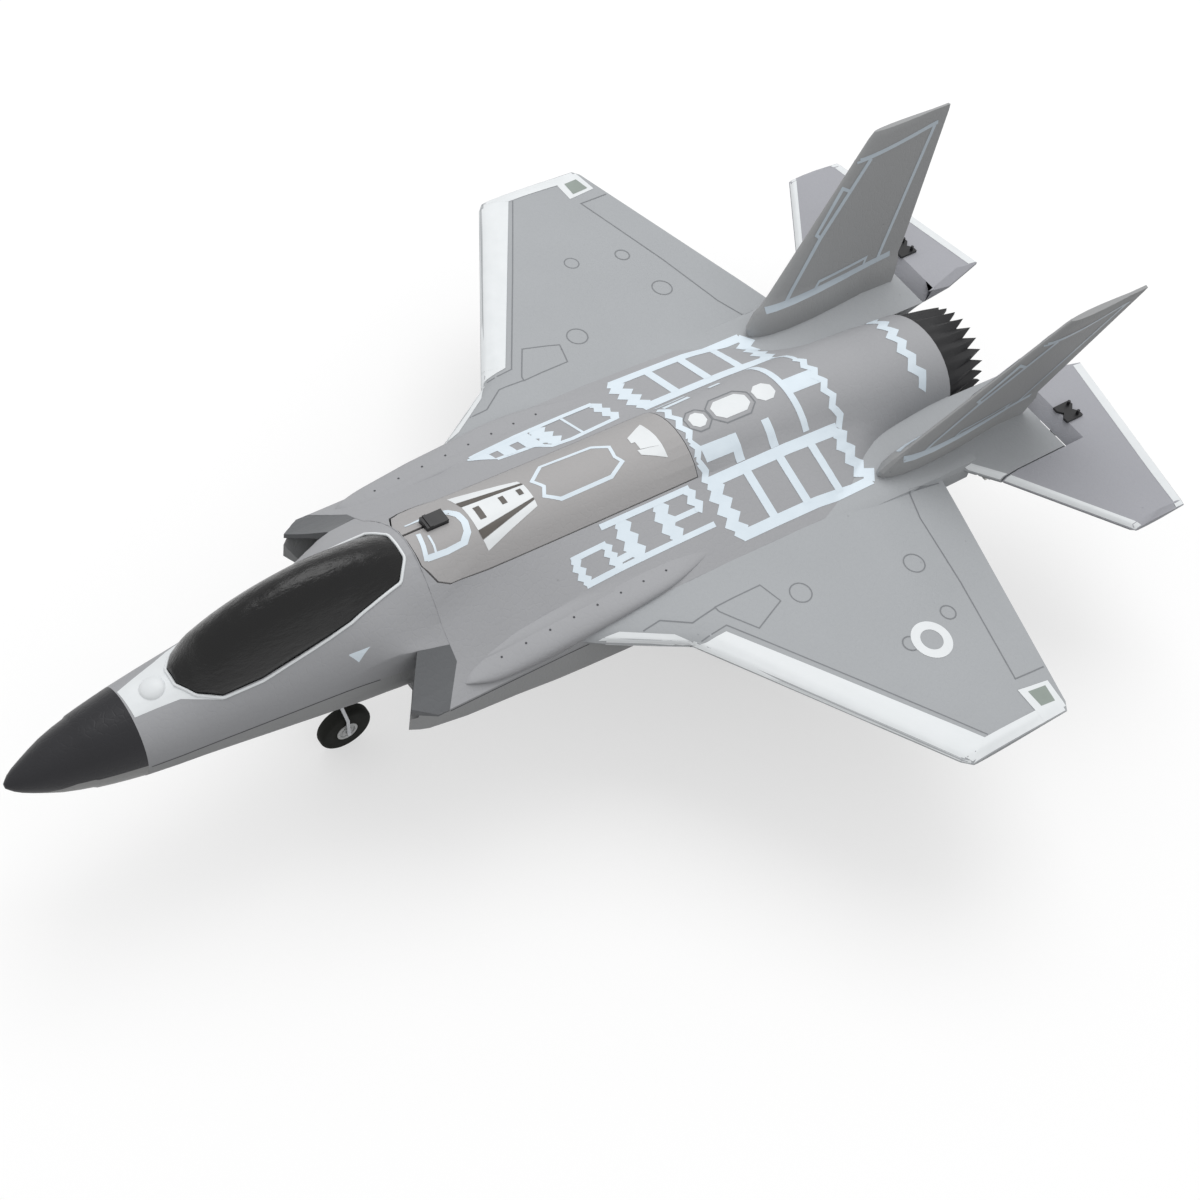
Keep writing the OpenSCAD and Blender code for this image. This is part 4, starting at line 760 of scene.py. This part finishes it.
# ---- Markings of the hatch ----
hatch_lines = [
    band([(-2.4, 188.6), (-7.4, 195.4), (-6.6, 215.4), (-3.4, 220.8), (1.2, 219.8), (3.9, 221.2), (7.2, 214.6),
          (7.4, 194), (4.4, 189), (1.2, 191)], 1.3, closed=True),
    band([(-5.6, 154), (-4.2, 156.8), (-1.6, 158.9), (2, 159.4), (5.4, 158.4), (8, 155.6)], 2.4),
    band([(8, 156.4), (8.4, 149), (8, 141.6)], 1.8), band([(-0.6, 143.4), (4, 142.6), (8.6, 141.2)], 1.6),
    band([(1.4, 146), (5, 145.9), (8.6, 145)], 0.8), band([(-6.3, 142), (-6.4, 149), (-5.4, 154.6)], 0.9),
]
fan = [
    block([(-10.6, 160.9), (-5, 184.4)], [(-6.4, 161.3), (-3.6, 184.9)]),
    block([(-3.6, 161.8), (-2.6, 185.3)], [(6.4, 161.9), (3.4, 185.4)]),
    block([(9.6, 162), (4.3, 185.3)], [(12.7, 162.3), (6.6, 184.9)]),
    block([(-3.8, 228.7), (-7.8, 237.2)], [(-1, 228.4), (-0.6, 237.9)]),
    block([(-1, 229.8), (-0.6, 237.9)], [(2.4, 229.8), (4, 237.9)]),
    block([(2.4, 228.5), (4, 237.9)], [(4.4, 228.8), (8.6, 237.4)]),
]
fan_bars = [
    block([(-6.2, 161.4), (-3.5, 184.9)], [(-3.8, 161.8), (-2.7, 185.2)]),
    block([(6.6, 161.9), (3.5, 185.3)], [(9.4, 162), (4.2, 185.2)]),
]
windows = [block([(-1.6, y), (-1.6, y + long)], [(port, y), (port, y + long)])
           for y, long, port in ((164.6, 2.4, 3.6), (174.4, 2, 1.6), (181.4, 1.9, 0.9))]
laid("hatch_line_vinyl", hatch_lines, ["battery_hatch"], "pale_vinyl", body="hatch")
laid("hatch_white_vinyl", fan, ["battery_hatch"], "white_vinyl", body="hatch")
laid("hatch_dark_vinyl", fan_bars + windows, ["battery_hatch"], "dark_vinyl", body="hatch", lift=0.16)

# ---- Nose: white collar and a warning triangle ----
collar = [
    block([(-5.5, 40.4), (-7.6, 48), (-9.6, 55.4)], [(5.5, 40.8), (6.4, 48), (7.5, 55.4)]),
    block([(7.5, 55.2), (9.9, 60), (12.8, 66.6)], [(3.2, 55.4), (8.6, 60.4), (12.3, 67.4)]),
    block([(-9.6, 55.2), (-11.6, 60), (-13.2, 66.6)], [(-3.2, 55.4), (-8.6, 60.4), (-12.3, 67.4)]),
]
triangle = [block([(19.2, 107.3), (20.8, 113.9)], [(19.4, 107.2), (21.5, 109.6)])]
laid("nose_collar_vinyl", collar, ["fuselage_upper"], "white_vinyl", lift=0.08, grain=0.8)
laid("nose_triangle_vinyl", triangle, ["fuselage_upper"], "pale_vinyl", lift=0.08)

# ---- Mould seams along the sides, each a dark strip of painted shade in its groove: plan points are height and station ----
stations = np.linspace(41, 117, 40)
seams = [band(np.stack([curve(FORE_EDGE, stations) - 0.75, stations], 1), 0.5),
         band([(-3.5, 126), (-3.5, 150), (-3.6, 176), (-3.9, 184)], 0.5)]
for side, sign in SIDES:
    laid(f"mould_seam_{side}", seams, ["fuselage_upper", "fuselage_lower"], "seam", lift=0.06, grain=1,
         across=(0, 0, 1), out=(sign, 0, 0))

# ---- Wings ----
wing_band = [
    block([(47.6, 185.2), (57.4, 200.8), (64.3, 211.8)], [(49.1, 192.3), (58.9, 208), (66.4, 214.3)]),
    block([(64.3, 211.8), (71, 216.1)], [(66.4, 214.3), (66.8, 223.4)]),
    block([(71, 216.1), (113, 242.8), (147.2, 264.8)], [(66.8, 223.4), (108.9, 252), (142.1, 274.6)]),
    block([(147.2, 264.8), (147.2, 298.2)], [(142.1, 274.6), (142.4, 298.2)]),
    block([(133.3, 297.9), (135.1, 310.6)], [(147.2, 298), (147.2, 309.2)]),
]
under_edge = [band([(49.5, 189), (65, 213.6), (146.8, 265.8)], 2.4)]
laid("wing_edge_vinyl", both(wing_band), WINGS, "white_vinyl")
laid("wing_edge_vinyl_below", both(under_edge), WINGS, "white_vinyl", out=(0, 0, -1))

# The rounded leading edges, seen along the normal of each straight run. A run has two ends in plan, and the middle
# height and half height of its strip at each end.
LEADING_EDGES = {"strake": [(49.4, 187.2), (63.9, 211.4), (-0.6, 1.7), (-0.6, 1.7)],
                 "main": [(64.2, 211.7), (147.2, 264.5), (-0.6, 1.7), (-1.9, 0.8)]}
for side, sign in SIDES:
    for run, ((x0, y0), (x1, y1), (mid0, half0), (mid1, half1)) in LEADING_EDGES.items():
        long = math.hypot(x1 - x0, y1 - y0)
        dx, dy = (x1 - x0) / long, (y1 - y0) / long
        strip = [block([(mid0 - half0, 0), (mid1 - half1, long)], [(mid0 + half0, 0), (mid1 + half1, long)])]
        laid(f"{run}_edge_vinyl_{side}", strip, [f"wing_{side}"], "white_vinyl", lift=0.08, across=(0, 0, 1),
             along=(sign * dx, dy, 0), out=(sign * dy, -dx, 0), origin=(sign * x0, y0, 0))
tip_square = [block([(135.4, 300.9), (136.3, 308.4)], [(142, 301.2), (142.6, 307.2)])]
laid("wing_tip_square_vinyl", both(tip_square), WINGS, "olive_vinyl", lift=0.18)
laid("wing_roundel_vinyl", [ring(103.5, 284.2, 5.8, 3.4)], ["wing_left"], "white_vinyl")

# ---- Pressed panel lines and dimples, as flat dark strips and discs of painted shade ----
LINE = 0.5
wing_lines = [
    band([(65.2, 214.6), (65, 224.8), (107.3, 253.4), (141.8, 276.4)], LINE), ring(67, 255, 3.9, LINE),
    ring(75.2, 300.4, 3.9, LINE), ring(97.2, 297.4, 2.8, LINE), ring(101.3, 276.3, 2.8, LINE),
    band([(57.6, 225.2), (57.8, 244.3), (66.4, 246.7), (71.5, 233.7), (59.7, 225.6)], LINE, closed=True),
    band([(57.8, 225), (58.7, 215.3), (52.6, 206.1), (52.9, 199.3)], LINE),
    band([(50.6, 334), (49, 320.6), (60.5, 316.1), (88.9, 310.6), (129.4, 300.5), (130.2, 313.4)], LINE),
]
spine_lines = [band(outline(lozenge(0.5, 255.8, 4.8, 4.6, 3)), LINE, closed=True),
               band(outline(lozenge(0.2, 270.4, 9.3, 5.7, 4)), LINE, closed=True)]
dimples = [disc(39.3, y, 0.4, 8) for y in (152.2, 161.5, 170.8, 180.1, 189.4, 198.8, 208, 217.4)]
# The pressed lines are flat strips a shade darker than the paint: painted shade in their grooves.
laid("pressed_lines", both(wing_lines) + spine_lines, DECK, "pressed_line", lift=0.03, grain=1.6)
# The dimples are flat dark discs laid on the bulges: painted shade in their hollows.
laid("bulge_dimples", both(dimples), BULGES, "seam", lift=0.04, grain=0.5)

# ---- Elevators and the fixed roots ahead of them ----
panel = [
    block([(30.9, 420.4), (84.4, 409.4), (102.2, 406.4)], [(30.9, 424.8), (84.4, 414), (102.3, 410.3)]),
    block([(61.3, 356.9), (102.3, 385.1)], [(61.3, 359.7), (102.2, 387.9)]),
]
root = [block([(49.9, 347.2), (60.2, 355.8)], [(49.9, 350), (60.2, 358.8)])]
for side, sign in SIDES:
    laid(f"elevator_{side}_vinyl", on_side(panel, sign), [f"elevator_{side}"], "white_vinyl",
         body=f"elevator_{side}_panel")
    laid(f"tail_root_{side}_vinyl", on_side(root, sign), [f"wing_{side}"], "white_vinyl")

# ---- Fins: plan points are the station and the height up the fin's slope ----
CANT = math.radians(12.5)
UP_SLOPE = 1 / math.cos(CANT)
FIN_X, FOOT = 38.6, 3.6
fin_strokes = [
    (2.4, [(319.6, 9.4), (381.6, 11.3)]), (1.7, [(375, 11.6), (396.6, 60.2)]), (1.7, [(357.6, 57), (398.2, 61)]),
    (1.2, [(342.6, 10.8), (344.6, 13.2), (368.6, 14.4), (367.4, 11.6)]),
    (1.7, [(328.8, 10.2), (343.6, 31.6), (365, 57)]),
    (1.3, [(343.8, 31.4), (341.8, 33.2), (353, 48.4), (356.2, 46.6)]),
]
marks = [band([(y, z * UP_SLOPE) for y, z in stroke], width) for width, stroke in fin_strokes]
for side, sign in SIDES:
    for face, way in (("inner", -sign), ("outer", sign)):
        laid(f"fin_{side}_{face}_vinyl", marks, [f"fin_{side}"], "fin_vinyl", across=(0, 1, 0),
             along=(sign * math.sin(CANT), 0, math.cos(CANT)),
             out=(way * math.cos(CANT), 0, -way * sign * math.sin(CANT)), origin=(sign * FIN_X, 0, FOOT))


# ---- Studio: pale floor, even sky and one broad lamp overhead ----
def straight_rays(tree, *kinds):
    """1 for rays of the named kinds, and 0 for the rest."""
    path = add(tree, "ShaderNodeLightPath")
    share = path.outputs[kinds[0]]
    for kind in kinds[1:]:
        share = work_out(tree, "MAXIMUM", share, path.outputs[kind])
    return share


def pale_floor(half_size=4):
    """A square floor, white to whoever looks at it and grey as a source of light. Near the model a bit over half of
    what is seen is plain white, so the shadow stays but is as faint as on a light table, and the floor fades to the
    white of the sky a metre out, so no horizon shows."""
    mat, tree, matt, place = new_finish("pale_floor", Roughness=0.9, Specular_IOR_Level=0)
    looked_at = straight_rays(tree, "Is Camera Ray", "Is Glossy Ray", "Is Transmission Ray")
    tint(tree, matt, looked_at, "#7c7c7c", "#ffffff")
    glow = add(tree, "ShaderNodeEmission", {"Color": (1, 1, 1, 1), "Strength": 1.0})
    away = add(tree, "ShaderNodeVectorMath", {0: place}, operation="LENGTH")
    share = add(tree, "ShaderNodeMapRange", {0: away.outputs["Value"], 1: 0.3, 2: 1.0, 3: 0.55, 4: 1.0},
                interpolation_type="SMOOTHSTEP")
    lit = work_out(tree, "MULTIPLY", looked_at, share.outputs[0])
    mixed = add(tree, "ShaderNodeMixShader", {0: lit, 1: matt.outputs[0], 2: glow.outputs[0]})
    tree.links.new(mixed.outputs[0], tree.nodes["Material Output"].inputs["Surface"])
    mesh = bpy.data.meshes.new("floor")
    mesh.from_pydata([(x * half_size, y * half_size, 0) for x, y in ((-1, -1), (1, -1), (1, 1), (-1, 1))],
                     [], [(0, 1, 2, 3)])
    mesh.materials.append(mat)
    obj = bpy.data.objects.new("floor", mesh)
    bpy.context.scene.collection.objects.link(obj)
    return obj


def even_sky(level):
    """A white sky for whoever looks at it, which lights the model at a lower level."""
    world = bpy.data.worlds.new("studio")
    bpy.context.scene.world = world
    world.use_nodes = True
    tree = world.node_tree
    looked_at = straight_rays(tree, "Is Camera Ray", "Is Transmission Ray")
    strength = add(tree, "ShaderNodeMix", {0: looked_at, 2: level, 3: 1.0}, data_type="FLOAT")
    tree.links.new(strength.outputs[0], tree.nodes["Background"].inputs["Strength"])
    tree.nodes["Background"].inputs["Color"].default_value = (1, 1, 1, 1)


def softbox(name, place, aim, size, power):
    """A square area lamp at place, facing aim."""
    data = bpy.data.lights.new(name, "AREA")
    data.size = size
    data.energy = power
    obj = bpy.data.objects.new(name, data)
    obj.location = place
    obj.rotation_euler = (Vector(aim) - Vector(place)).to_track_quat("-Z", "Y").to_euler()
    bpy.context.scene.collection.objects.link(obj)


floor = pale_floor()
even_sky(0.74)
softbox("overhead_softbox", place=(-0.42, 0.34, 1.45), aim=(0, 0, 0.05), size=1.1, power=9.5)
bpy.context.scene.view_settings.view_transform = "Standard"
